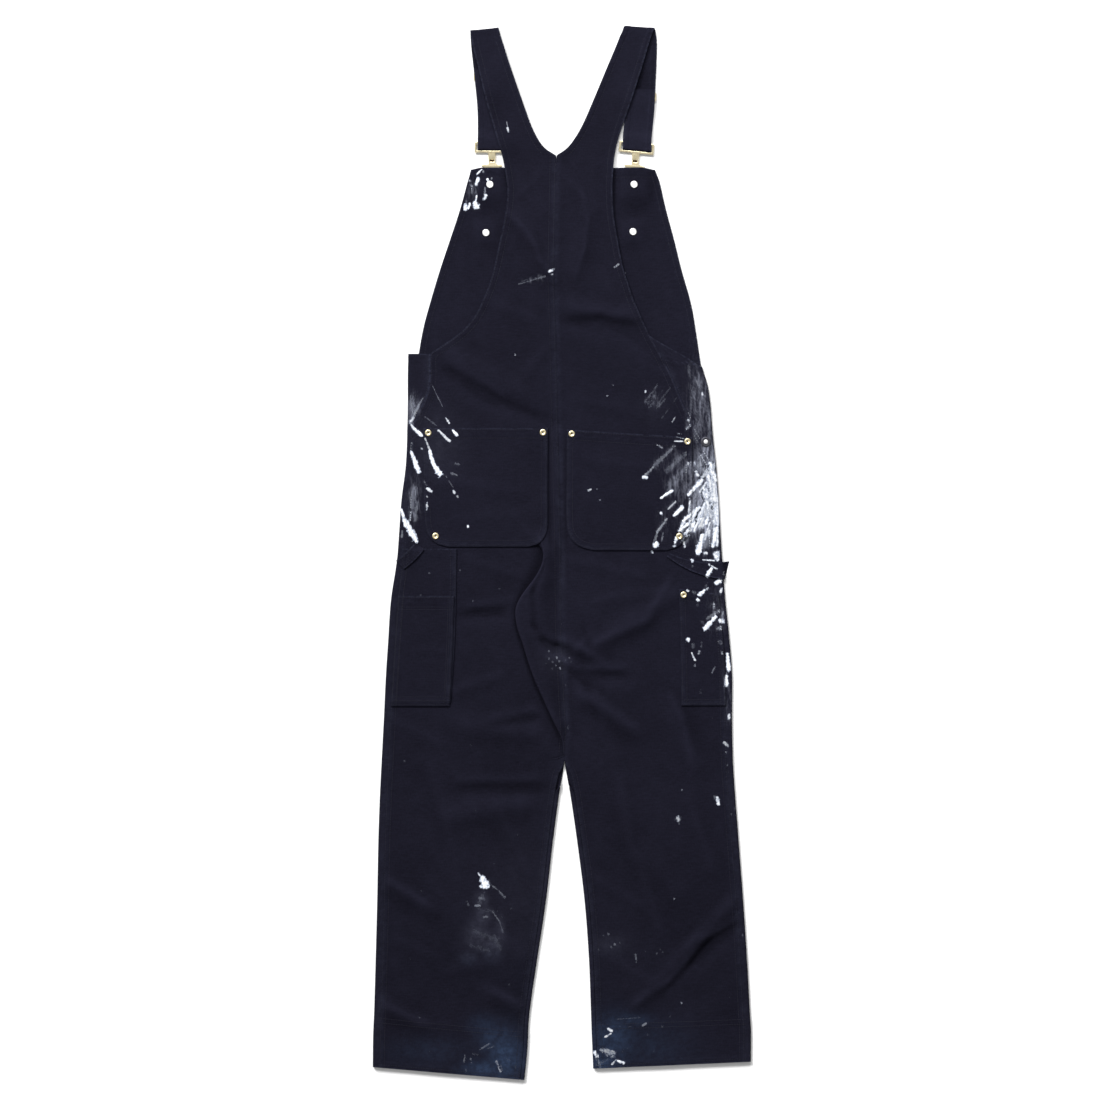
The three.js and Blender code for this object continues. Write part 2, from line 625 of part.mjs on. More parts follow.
function pleatPath(level, outer, inner) {
  const edge = across(PLEAT, "edge", level);
  const under = Math.max(0.4, across(PLEAT, "under", level));
  const radius = PLEAT_LIFT / 2;
  const hidden = edge + FOLD_REACH + under;
  const path = [];
  for (let k = 0; k <= LEFT_RUN_STEPS; k += 1) {
    const x = mix(outer, hidden, k / LEFT_RUN_STEPS);
    const nearPleat = ease((x - edge + 24) / 20);
    path.push({ x, z: UPPER_LEVEL + relief(x, level) * (1 - nearPleat) });
  }
  for (let k = 1; k <= PLEAT_TURN_STEPS; k += 1) {
    const angle = (Math.PI * k) / PLEAT_TURN_STEPS;
    path.push({ x: hidden + radius * Math.sin(angle), z: UPPER_LEVEL + radius * (1 - Math.cos(angle)) });
  }
  const top = UPPER_LEVEL + 2 * radius;
  for (let k = 0; k <= PLEAT_TURN_STEPS; k += 1) {
    const angle = (Math.PI * k) / PLEAT_TURN_STEPS;
    const x = edge + FOLD_REACH - radius * Math.sin(angle);
    path.push({ x, z: top + radius * (1 - Math.cos(angle)) });
  }
  const crown = top + 2 * radius;
  const over = hidden + FOLD_REACH;
  for (let k = 1; k <= LEFT_TOP_STEPS; k += 1) {
    const start = edge + FOLD_REACH;
    const x = k === 1 ? mix(start, over, 0.9) : mix(over, inner, (k - 1) / (LEFT_TOP_STEPS - 1));
    const down = ease((x - over) / (inner - over));
    path.push({ x, z: mix(crown + 0.2, UPPER_LEVEL + relief(inner, level), down) });
  }
  return path;
}

const backRows = {
  left: panelLevels(-1, [...BACK_ROWS, ...LEFT_ROWS]).map(backSectionLeft),
  right: panelLevels(1, [...BACK_ROWS, ...RIGHT_ROWS]).map(backSectionRight),
};

// Height of the back panel's middle at a place, between its own points
function panelHeight(x, y) {
  const rows = x < centreSeam(y) ? backRows.left : backRows.right;
  const last = rows.length - 1;
  const level = (i) => rows[i][0].y;
  let i = 0;
  while (i < last - 1 && level(i + 1) > y) i += 1;
  const t = clamp((level(i) - y) / (level(i) - level(i + 1)));
  return mix(heightOnRow(rows[i], x), heightOnRow(rows[i + 1], x), t);
}

function heightOnRow(row, x) {
  for (let k = 0; k + 1 < row.length; k += 1) {
    const t = (x - row[k].x) / (row[k + 1].x - row[k].x);
    if (t >= 0 && t <= 1) return mix(row[k].z, row[k + 1].z, t);
  }
  return row[0].z;
}

// A patch on the back panel: rows between two side lines, lifted off the cloth below
function patch(table, levels, columns, lift, topSlant = 0) {
  const rows = levels.map((level) => {
    const left = across(table, "left", level);
    const right = across(table, "right", level);
    const points = [];
    for (let k = 0; k <= columns; k += 1) {
      const t = k / columns;
      const x = mix(left, right, t);
      const y = level - topSlant * t * ease((level - table[table.length - 1].y) / 100);
      points.push({ x, y, z: panelHeight(x, y) + WALL + lift });
    }
    return points;
  });
  return clothWall(rows);
}

// A band on the leg between two corner points at each end
function band(start, end, steps, width, lift) {
  const run = new THREE.Vector2(end.x - start.x, end.y - start.y);
  const sideways = new THREE.Vector2(-run.y, run.x).normalize();
  const rows = [];
  for (let i = 0; i <= steps; i += 1) {
    const t = i / steps;
    const halfWidth = mix(width.start, width.end, t) / 2;
    const bow = 4 * t * (1 - t) * width.bow;
    const row = [];
    for (let k = 0; k <= 3; k += 1) {
      const s = halfWidth * (1 - (2 * k) / 3) + bow;
      const x = start.x + run.x * t + sideways.x * s;
      const y = start.y + run.y * t + sideways.y * s;
      row.push({ x, y, z: panelHeight(x, y) + WALL + lift });
    }
    rows.push(row);
  }
  return clothWallAlong(rows);
}

// A wall whose rows run any way in plan, thickened straight up and down
function clothWallAlong(rows) {
  const positions = [];
  for (const reach of [WALL / 2, -WALL / 2]) {
    for (const row of rows) {
      for (const point of row) positions.push(round(point.x), round(point.y), round(point.z + reach));
    }
  }
  return closedGrid(positions, rows.length, rows[0].length);
}

// Shoulder strap: over the fold, down the front, round the hook's bar and back to the slider
const STRAP_ENDS = {
  left: { topY: 733.2, topTilt: 0.1, returnY: 676 },
  right: { topY: 736.2, topTilt: -0.07, returnY: 648.6 },
};

function strap(key) {
  const rows = [...strapOverFold(key), ...strapDownFront(key), ...strapRoundBar(key)];
  return strapWall(rows);
}

function strapRow(key, y, z, tilt, onBack = 0) {
  const backMiddle = (across(BACK_EDGES, key, y) + across(NECK_EDGES, key, y)) / 2;
  return { middle: mix(across(STRAP_LINES[key], "x", y), backMiddle, onBack), y, z, tilt };
}

function strapOverFold(key) {
  const { topY, topTilt } = STRAP_ENDS[key];
  const foldY = topY - FOLD_REACH;
  const rows = [strapRow(key, STRAP_JOIN_Y, UPPER_LEVEL, 0, 1), strapRow(key, foldY, UPPER_LEVEL, topTilt, 0.8)];
  for (const degrees of [45, 90, 135]) {
    const angle = THREE.MathUtils.degToRad(degrees);
    const y = foldY + FOLD_RADIUS * Math.sin(angle);
    const z = FLOOR_LEVEL + FOLD_RADIUS * (1 + Math.cos(angle));
    rows.push(strapRow(key, y, z, topTilt, 0.7 - degrees / 300));
  }
  return rows;
}

const barTilt = (key) => Math.tan(THREE.MathUtils.degToRad(BUCKLES[key].turn));
const barHeight = (key) => BUCKLES[key].y + 10.8;

function strapDownFront(key) {
  const { topY, topTilt } = STRAP_ENDS[key];
  return [topY - FOLD_REACH, 712, 690, 668, 645, 622, 600, barHeight(key)].map((y) => {
    const tilt = y > 660 ? topTilt * ease((y - 660) / 65) : barTilt(key) * ease((660 - y) / 70);
    return strapRow(key, y, FLOOR_LEVEL, tilt);
  });
}

function strapRoundBar(key) {
  const radius = BUCKLE_THICK / 2 + SEAM_GAP + WALL / 2;
  const barY = barHeight(key);
  const tilt = barTilt(key);
  const rows = [45, 90, 135, 180].map((degrees) => {
    const angle = THREE.MathUtils.degToRad(degrees);
    return strapRow(key, barY - radius * Math.sin(angle), FLOOR_LEVEL + radius * (1 - Math.cos(angle)), tilt);
  });
  const slider = SLIDERS[key].y;
  const resting = FLOOR_LEVEL + WALL + SEAM_GAP;
  const overSlider = resting + SLIDER_THICK + SEAM_GAP;
  rows.push(strapRow(key, barY + 6, FLOOR_LEVEL + radius * 2, tilt));
  rows.push(strapRow(key, barY + 18, resting, tilt));
  rows.push(strapRow(key, mix(barY, slider, 0.6), resting, tilt * 0.5));
  rows.push(strapRow(key, slider - 14, resting, 0));
  rows.push(strapRow(key, slider - 7.6, overSlider, 0));
  rows.push(strapRow(key, STRAP_ENDS[key].returnY, overSlider, 0));
  return rows;
}

function strapWall(rows) {
  const positions = [];
  for (const face of [0.5, -0.5]) {
    rows.forEach((row, i) => {
      const before = rows[Math.max(0, i - 1)];
      const after = rows[Math.min(rows.length - 1, i + 1)];
      const length = Math.hypot(after.y - before.y, after.z - before.z);
      const up = (after.y - before.y) / length;
      const forward = (after.z - before.z) / length;
      const reach = WALL * face;
      for (let k = 0; k <= STRAP_STEPS; k += 1) {
        const aside = STRAP_WIDTH * (k / STRAP_STEPS - 0.5);
        positions.push(round(row.middle + aside));
        positions.push(round(row.y + forward * reach + aside * row.tilt));
        positions.push(round(row.z - up * reach));
      }
    });
  }
  return closedGrid(positions, rows.length, STRAP_STEPS + 1);
}

// Flat metal with holes, from a plan outline
function plate(shape, thickness, bottom) {
  const geometry = new THREE.ExtrudeGeometry(shape, { depth: thickness, bevelEnabled: false, curveSegments: 3 });
  geometry.translate(0, 0, bottom);
  return geometry;
}

function roundedBox(shape, left, low, right, high, radius) {
  shape.moveTo(left + radius, low);
  shape.lineTo(right - radius, low);
  shape.absarc(right - radius, low + radius, radius, -Math.PI / 2, 0, false);
  shape.lineTo(right, high - radius);
  shape.absarc(right - radius, high - radius, radius, 0, Math.PI / 2, false);
  shape.lineTo(left + radius, high);
  shape.absarc(left + radius, high - radius, radius, Math.PI / 2, Math.PI, false);
  shape.lineTo(left, low + radius);
  shape.absarc(left + radius, low + radius, radius, Math.PI, 1.5 * Math.PI, false);
  return shape;
}

// Hook buckle: strap frame, stem, shoulder bar and the loop that holds the button
function buckle() {
  const half = BUCKLE_WIDTH / 2;
  const outline = new THREE.Shape();
  outline.moveTo(-half, -1.3);
  outline.lineTo(-5, -1.3);
  outline.lineTo(-5, -18.4);
  outline.lineTo(-14.5, -18.8);
  outline.lineTo(-14.5, -21.6);
  outline.lineTo(-11, -22);
  outline.lineTo(-10.4, -40);
  outline.absarc(0, -46.6, 11.2, 2.55, 0.59, false);
  outline.lineTo(11, -22);
  outline.lineTo(14.5, -21.6);
  outline.lineTo(14.5, -18.8);
  outline.lineTo(5, -18.4);
  outline.lineTo(5, -1.3);
  outline.lineTo(half, -1.3);
  outline.lineTo(half, 13.6);
  outline.lineTo(-half, 13.6);
  outline.closePath();
  const slot = roundedBox(new THREE.Path(), -half + 3.4, 1.3, half - 3.4, 10.8, 1);
  const eye = new THREE.Path();
  eye.moveTo(-7.4, -24.6);
  eye.lineTo(7.4, -24.6);
  eye.lineTo(8.2, -44);
  eye.absarc(0, -46.6, 8.4, 0.32, Math.PI - 0.32, true);
  eye.closePath();
  outline.holes.push(slot, eye);
  return plate(outline, BUCKLE_THICK, WALL + SEAM_GAP);
}

// Strap slider: a flat frame with one cross bar
function slider() {
  const outline = roundedBox(new THREE.Shape(), -24.5, -6.2, 24.5, 6.2, 2.4);
  outline.holes.push(roundedBox(new THREE.Path(), -21.4, -4.2, 21.4, -1.1, 0.8));
  outline.holes.push(roundedBox(new THREE.Path(), -21.4, 1.1, 21.4, 4.2, 0.8));
  return plate(outline, SLIDER_THICK, WALL + SEAM_GAP);
}

// A round head of metal turned about its own axis
function turned(profile, segments) {
  const points = profile.map(([radius, height]) => new THREE.Vector2(radius, height));
  const geometry = new THREE.LatheGeometry(points, segments);
  geometry.rotateX(Math.PI / 2);
  return geometry;
}

function dome(diameter, height, segments = 14) {
  const r = diameter / 2;
  return turned([[0, 0], [r, 0], [r, height * 0.45], [r * 0.82, height * 0.85], [0, height]], segments);
}

// Materials, each with the colour and finish that the piece shows
const cloth = (colour) => new THREE.MeshStandardMaterial({ color: colour, roughness: 0.92, metalness: 0 });
const metal = (colour, roughness) => new THREE.MeshStandardMaterial({ color: colour, roughness, metalness: 1 });

const overalls = new THREE.Group();
overalls.name = "overalls";

function add(name, geometry, material, place = { x: 0, y: 0, z: 0, turn: 0 }) {
  const mesh = new THREE.Mesh(geometry, material);
  mesh.name = name;
  mesh.position.set(place.x + CENTRE_SHIFT.x, place.y + CENTRE_SHIFT.y, place.z ?? 0);
  mesh.rotation.z = THREE.MathUtils.degToRad(place.turn ?? 0);
  overalls.add(mesh);
}

const CANVAS = 0x27262f;
const CANVAS_LIGHT = 0x2b2a35;
const BRASS = 0xb08d45;
const NICKEL = 0xc9c9c6;

add("front_left", frontLeg(-1), cloth(CANVAS_LIGHT));
add("front_right", frontLeg(1), cloth(CANVAS_LIGHT));
add("bib", bib(), cloth(CANVAS));
add("back_left", clothWall(backRows.left), cloth(CANVAS));
add("back_right", clothWall(backRows.right), cloth(CANVAS));
add("strap_left", strap("left"), cloth(CANVAS_LIGHT));
add("strap_right", strap("right"), cloth(CANVAS_LIGHT));

const pocketLevels = (table) => {
  const top = table[0].y;
  return [top, top - 22, 125, 98, 72, 50, ...table.slice(4).map((row) => row.y)];
};
add("back_pocket_left", patch(POCKET_LEFT, pocketLevels(POCKET_LEFT), 10, PATCH_LIFT), cloth(CANVAS));
add("back_pocket_right", patch(POCKET_RIGHT, pocketLevels(POCKET_RIGHT), 10, PATCH_LIFT, 11), cloth(CANVAS));

const tallLevels = [6, -18, -42, -66, -90, -115, -140, -165, -188, -209];
const shortLevels = [-60, -82, -104, -126, -148, -170, -192, -214];
const rightLevels = [-50, -72, -95, -118, -141, -165, -189, -213];
add("tool_pocket_left_tall", patch(TOOL_TALL, tallLevels, 4, PATCH_LIFT), cloth(CANVAS));
add("tool_pocket_left_short", patch(TOOL_SHORT, shortLevels, 4, 2 * PATCH_LIFT + WALL), cloth(CANVAS));
add("tool_pocket_right", patch(TOOL_RIGHT, rightLevels, 4, PATCH_LIFT, 7), cloth(CANVAS));

const overTall = 2 * PATCH_LIFT + WALL;
const hammerBand = band({ x: -198.6, y: 10.5 }, { x: -226.5, y: -16.5 }, 5, { start: 16, end: 16, bow: 1.5 }, overTall);
const toolBand = band({ x: 151, y: -2.5 }, { x: 230.6, y: -25 }, 7, { start: 17.5, end: 20.5, bow: -4.5 }, PATCH_LIFT);
add("hammer_loop_left", hammerBand, cloth(CANVAS));
add("tool_band_right", toolBand, cloth(CANVAS));

for (const key of ["left", "right"]) {
  add(`buckle_${key}`, buckle(), metal(BRASS, 0.35), BUCKLES[key]);
  add(`slider_${key}`, slider(), metal(BRASS, 0.38), SLIDERS[key]);
}

for (const button of BIB_BUTTONS) {
  const head = turned([[0, 0], [7.6, 0], [BUTTON_DIAMETER / 2, 0.5], [7.6, 1.2], [0, 1.2]], 16);
  add(`bib_button_${button.name}`, head, metal(BRASS, 0.4), button);
  const capBottom = bibHeight(button.x, button.y) + WALL / 2 + SEAM_GAP;
  add(`button_cap_${button.name}`, dome(CAP_DIAMETER, 1.3), metal(NICKEL, 0.35), { ...button, z: capBottom });
}

// Rivets stand on the pocket cloth, the side button on the hip
const onCloth = (x, y, layers) => panelHeight(x, y) + WALL / 2 + layers * (WALL + PATCH_LIFT) + 0.35;
add("side_button_right", dome(14, 2), metal(BRASS, 0.4), { x: 201.2, y: 155.4, z: onCloth(201.2, 155.4, 0) });

const RIVETS = [
  { name: "pocket_left_a", x: -187.0, y: 168.0 },
  { name: "pocket_left_b", x: -26.6, y: 168.6 },
  { name: "pocket_left_c", x: -176.8, y: 23.8 },
  { name: "pocket_right_a", x: 13.6, y: 166.6 },
  { name: "pocket_right_b", x: 175.4, y: 156.0 },
  { name: "pocket_right_c", x: 164.0, y: 23.4 },
  { name: "tool_right", x: 170.0, y: -58.4 },
];
for (const rivet of RIVETS) {
  const place = { ...rivet, z: onCloth(rivet.x, rivet.y, 1) };
  add(`rivet_${rivet.name}`, dome(RIVET_DIAMETER, 1.2, 12), metal(BRASS, 0.35), place);
}

export default overalls;
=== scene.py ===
# %% [markdown]
# # Paint spattered bib overalls, laid flat and face down
# The garment lies on a pale floor and is seen from its back. Every piece of cloth is a thin
# wall of duck canvas: first its middle surface is worked out as a grid of points, then the
# grid is given its thickness. Stitches, paint and metal are laid on that cloth.

# %% Load the frame
import math

import bmesh
import bpy
import numpy as np
from mathutils import Matrix
from mathutils.bvhtree import BVHTree
from mathutils.kdtree import KDTree


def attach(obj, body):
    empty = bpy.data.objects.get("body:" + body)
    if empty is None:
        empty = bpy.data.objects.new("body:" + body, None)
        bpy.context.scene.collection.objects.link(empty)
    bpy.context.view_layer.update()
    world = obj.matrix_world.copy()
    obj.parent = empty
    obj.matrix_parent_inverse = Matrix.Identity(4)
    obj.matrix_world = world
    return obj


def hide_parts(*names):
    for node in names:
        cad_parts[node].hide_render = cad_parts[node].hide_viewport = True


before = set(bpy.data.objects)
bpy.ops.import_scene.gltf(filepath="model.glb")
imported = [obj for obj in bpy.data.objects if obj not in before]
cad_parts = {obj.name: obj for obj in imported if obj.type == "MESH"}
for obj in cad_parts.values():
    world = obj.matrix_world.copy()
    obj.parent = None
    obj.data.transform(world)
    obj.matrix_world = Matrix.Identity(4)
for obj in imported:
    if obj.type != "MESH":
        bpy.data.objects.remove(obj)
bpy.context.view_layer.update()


# %% Putting things into the scene
def linked(name, data):
    """An object for a mesh, curve, lamp or camera, placed at the origin."""
    made = bpy.data.objects.new(name, data)
    bpy.context.collection.objects.link(made)
    return made


def set_values(mesh, key, values):
    """Keeps one number per vertex under a name that a finish can read."""
    mesh.attributes.new(key, "FLOAT", "POINT").data.foreach_set("value", np.ravel(values))


# %% [markdown]
# ## Camera and light
# The photograph was taken from straight above, so the camera looks down from four metres,
# where perspective is weak. Light from above alone flattens dark cloth, so a broad light from
# one low side draws the creases, and a softer lamp beyond the shoulders fills the far edges.

# %% Camera
FRAME_WIDTH = 1.540
CAMERA_HEIGHT = 4.0
FILM_WIDTH = 36
eye = bpy.data.cameras.new("camera")
eye.sensor_width = FILM_WIDTH
eye.lens = FILM_WIDTH * CAMERA_HEIGHT / FRAME_WIDTH
camera = linked("camera", eye)
camera.location = (-0.01672, 0.003825, CAMERA_HEIGHT)
bpy.context.scene.camera = camera
print("lens", round(eye.lens, 1), "mm")


# %% Soft light
def lamp(name, kind, strength, **settings):
    light = bpy.data.lights.new(name, kind)
    light.energy = strength
    for key, value in settings.items():
        setattr(light, key, value)
    return linked(name, light)


AZIMUTH, ELEVATION, SPREAD = 124, 31, 20
window_side = lamp("window_side", "SUN", 4.9, angle=math.radians(SPREAD))
window_side.rotation_euler = (math.radians(90 - ELEVATION), 0, math.radians(90 + AZIMUTH))
head_side = lamp("head_side", "AREA", 64, shape="DISK", size=1.4)
head_side.location = (0.1, 2.6, 1.7)
head_side.rotation_euler = (-head_side.location).to_track_quat("-Z", "Y").to_euler()
world = bpy.data.worlds.new("studio")
world.use_nodes = True
sky = world.node_tree.nodes["Background"].inputs
sky["Color"].default_value = (1, 1, 1, 1)
sky["Strength"].default_value = 0.42
bpy.context.scene.world = world
bpy.context.scene.view_settings.view_transform = "Standard"
print("lamps", len(bpy.data.lights))


# %% [markdown]
# ## Drawing with tables
# A pattern cutter draws each edge through a few measured points. Here such an edge is a table
# of rows, and `across` reads a smooth value between the rows. All lengths are in millimetres
# until a piece is finished, and Y runs from the hems to the shoulders.

# %% Reading tables
def table(names, *rows):
    return {name: [row[i] for row in rows] for i, name in enumerate(names.split())}


def ease(value):
    value = np.clip(value, 0, 1)
    return value * value * (3 - 2 * value)


def mix(a, b, t):
    return a + (b - a) * t


def across(rows, column, y):
    """A smooth curve through a column of a table, read at y."""
    at, values = np.array(rows["y"], float), np.array(rows[column], float)
    if at[0] > at[-1]:
        at, values = at[::-1], values[::-1]
    last = len(at) - 1
    low = np.maximum(np.arange(last + 1) - 1, 0)
    high = np.minimum(np.arange(last + 1) + 1, last)
    slope = (values[high] - values[low]) / (at[high] - at[low])
    y = np.clip(y, at[0], at[-1])
    i = np.clip(np.searchsorted(at, y, side="right") - 1, 0, last - 1)
    span = at[i + 1] - at[i]
    t = (y - at[i]) / span
    start = (2 * t**3 - 3 * t**2 + 1) * values[i] + (t**3 - 2 * t**2 + t) * span * slope[i]
    end = (3 * t**2 - 2 * t**3) * values[i + 1] + (t**3 - t**2) * span * slope[i + 1]
    return start + end


def both_edges(rows, y):
    return across(rows, "left", y), across(rows, "right", y)


# %% Sizes shared by every piece
PIXEL = 1.4
WALL = 1.2
SEAM_GAP = 0.03
FLOOR_LEVEL = WALL / 2
UPPER_LEVEL = 3.8
FOLD_RADIUS = (UPPER_LEVEL - FLOOR_LEVEL) / 2
FOLD_REACH = FOLD_RADIUS + WALL / 2
WAIST_Y, CROTCH_Y, NECK_Y, HIP_END_Y = 278.6, -291, 556, 127
HEM_Y, HEM_BAND_Y = -721, -600
OPEN_SIDE_END = {-1: 172, 1: 150}
LEG_SEAM_INSET, INSEAM_INSET = 8.4, 6.2
STRAP_WIDTH, STRAP_JOIN_Y = 40, 722
PLEAT_LIFT = 3.2
PATCH_LIFT = 0.3
BUCKLE_THICK, SLIDER_THICK = 1.8, 1.4
CENTRE_SHIFT = np.array([0.08, -0.375, 0])


def spot(px, py):
    """A place of the photograph, in the garment's own millimetres."""
    return (px - 562) * PIXEL, (553 - py) * PIXEL


def in_metres(points):
    return (np.asarray(points) + CENTRE_SHIFT) / 1000


# %% [markdown]
# ## Measured edges
# These are the same rows as in the solid model: outline of the legs, seams, armholes, neck,
# pleat, creases and pockets. To change the cut of the garment, change a row here.

# %% Tables of the garment
LEG_OUTLINE = table("y outer_left inner_left inner_right outer_right",
    (279, -215.0, 0, 0, 196.0), (249, -215.8, 0, 0, 203.5), (214, -215.8, 0, 0, 207.5),
    (172, -216.5, 0, 0, 210.5), (123, -218.6, 0, 0, 215.6), (74, -224.7, 0, 0, 219.5),
    (25, -228.2, 0, 0, 222.0), (-10, -231.0, 0, 0, 224.3), (-66, -239.4, 0, 0, 228.6),
    (-122, -243.2, 0, 0, 234.5), (-171, -246.4, 0, 0, 238.0), (-234, -249.4, 0, 0, 238.0),
    (-291, -252.4, 3.0, 3.6, 239.2), (-339, -254.8, -4.2, 11.8, 242.2),
    (-402, -257.0, -12.6, 21.0, 247.1), (-486, -258.6, -22.4, 31.5, 253.4),
    (-570, -260.8, -35.0, 37.8, 259.0), (-640, -262.8, -46.0, 40.4, 262.5),
    (-682, -264.4, -48.6, 42.0, 264.4), (-740, -264.6, -55.0, 44.6, 263.6))
CENTRE_SEAM = table("y x",
    (556, -8.0), (494, -9.1), (389, -11.2), (298, -8.4), (172, -5.6), (10, -1.4), (-101, -0.7),
    (-206, 4.2), (-248, 7.0), (-291, 3.4))
BACK_EDGES = table("y left right",
    (740, -129.5, 129.6), (711, -125.3, 121.1), (676, -116.6, 110.6), (634, -106.6, 97.3),
    (599, -96.6, 85.0), (578, -90.3, 78.4), (554, -83.3, 73.2), (533, -79.4, 71.4),
    (508, -76.2, 70.3), (473, -79.4, 72.1), (438, -86.8, 77.7), (399, -95.2, 85.4),
    (375, -102.2, 93.1), (354, -110.6, 100.1), (333, -121.1, 109.2), (315, -135.1, 117.5),
    (302, -150.2, 124.0), (288, -170.5, 131.5), (279, -183.6, 136.6), (249, -184.6, 151.9),
    (225, -187.5, 161.7), (203, -196.5, 170.8), (186, -205.0, 178.5), (172, -210.8, 183.4),
    (151, -213.0, 194.6), (127, -214.6, 209.0))
NECK_EDGES = table("y left right",
    (740, -91.0, 87.5), (711, -81.9, 76.3), (676, -70.7, 61.6), (634, -56.0, 44.1),
    (599, -43.4, 28.7), (578, -33.0, 16.5), (565, -22.5, 5.6), (556, -8.15, -7.85))
BIB_EDGES = table("y left right",
    (539, -127.4, 130.2), (522, -131.6, 135.8), (480, -143.0, 145.6), (438, -156.8, 156.8),
    (396, -170.8, 167.3), (354, -183.4, 179.2), (312, -194.6, 188.3), (250, -205.0, 200.0))
PLEAT = table("y edge under",
    (8, -25.5, 0), (-14, -28, 1), (-34, -38, 8), (-60, -57, 30), (-78, -65, 40), (-101, -63.5, 38),
    (-123, -56.5, 32), (-172, -40.6, 16), (-205, -26, 6), (-235, -12.4, 3), (-262, -0.6, 1),
    (-290, 3.4, 0.4))
CREASES = table("from_x from_y to_x to_y width height",
    (-155, 251, -107, 220, 13, -1.6), (-107, 220, -18, 185, 12, -1.4),
    (-150, 274, -60, 228, 15, 2.4), (17, 323, 91, 314, 12, -1.4), (91, 314, 132, 272, 11, -1.4),
    (20, 345, 86, 336, 13, 2.2), (-62, 470, -18, 395, 14, 2.2), (42, 480, 20, 400, 14, 2.0),
    (-127, -87, -80, -81, 11, -1.5), (-130, -240, -40, -250, 16, 2.6),
    (-133, -330, -41, -330, 12, -1.8), (-150, -365, -60, -352, 17, 2.8),
    (-238, -462, -194, -490, 12, 2.4), (-110, -520, -60, -560, 16, 2.2),
    (-256, -630, -199, -654, 12, 2.6), (-92, -613, -60, -627, 10, 2.0),
    (34, -172, 80, -172, 11, -1.6), (52, -125, 150, -62, 14, 3.0), (36, -202, 99, -245, 14, 3.0),
    (155, -226, 182, -290, 13, 2.6), (234, -493, 183, -546, 11, 2.2),
    (183, -546, 109, -627, 11, 2.0), (244, -524, 188, -564, 12, -1.8),
    (120, -420, 160, -470, 18, 2.0))
SWELLS = table("x y reach_x reach_y height",
    (-110, 120, 75, 110, 1.4), (95, 110, 70, 110, 1.4), (-20, 420, 60, 90, 1.2),
    (-150, -150, 60, 120, 1.4), (120, -150, 60, 130, 1.5), (-150, -480, 60, 160, 1.7),
    (145, -450, 60, 180, 1.7), (-98, 664, 30, 36, 3.0), (104, 640, 28, 30, 2.6),
    (-82, 582, 24, 24, 3.4), (-84, 520, 16, 34, 1.6), (78, 520, 18, 34, 2.0))
BIB_RAISES = table("x y reach_x reach_y height",
    (-99.6, 526, 20, 34, 4.7), (-106.4, 448, 17, 17, 1.75), (101.4, 525, 22, 35, 5.0),
    (99.4, 449.4, 17, 17, 1.75))
BIB_BUTTONS = table("name x y",
    ("left_upper", -100.8, 515.2), ("left_lower", -106.4, 448.0), ("right_upper", 100.8, 515.2),
    ("right_lower", 99.4, 449.4))
POCKET_LEFT = table("y left right",
    (174.6, -194.4, -20.0), (140, -194.0, -20.4), (90, -193.4, -20.6), (50, -192.6, -20.6),
    (32, -190.0, -21.4), (20, -183.0, -26.5), (12.4, -173.0, -35.0), (9.0, -160.0, -48.0))
POCKET_RIGHT = table("y left right",
    (172.6, 6.8, 181.6), (140, 6.4, 182.0), (90, 6.2, 182.0), (50, 6.0, 180.4), (30, 8.0, 177.4),
    (16, 16.0, 169.0), (8.0, 28.0, 160.0), (4.0, 44.0, 146.0))
TOOL_TALL = table("y left right",
    (6.0, -223.2, -147.6), (-63, -230.0, -148.4), (-130, -234.6, -150.4), (-209, -239.4, -155.8))
TOOL_SHORT = table("y left right",
    (-60, -229.6, -151.0), (-140, -235.0, -153.6), (-214, -239.6, -157.6))
TOOL_RIGHT = table("y left right",
    (-50, 163.4, 218.4), (-134, 165.8, 226.6), (-213, 166.8, 229.0))
RIVETS = table("name x y",
    ("pocket_left_a", -187.0, 168.0), ("pocket_left_b", -26.6, 168.6),
    ("pocket_left_c", -176.8, 23.8), ("pocket_right_a", 13.6, 166.6),
    ("pocket_right_b", 175.4, 156.0), ("pocket_right_c", 164.0, 23.4), ("tool_right", 170.0, -58.4))
STRAP_LINES = {
    "left": table("y x", (740, -108.6), (712, -107.2), (673, -103.2), (619, -98.2), (560, -97.9)),
    "right": table("y x", (740, 109.4), (720, 112.6), (686, 112.2), (649, 110.6), (619, 109.0),
        (580, 105.2), (560, 104.8)),
}
SLIDERS = {"left": (-99.2, 666.4, 0), "right": (107.6, 638.4, -1)}
BUCKLES = {"left": (-98.0, 561.8, -0.6), "right": (103.6, 561.0, -6)}
LOOP_ENDS, BAND_ENDS = ((-198.6, 10.5), (-226.5, -16.5)), ((147.5, -2), (230.8, -24))
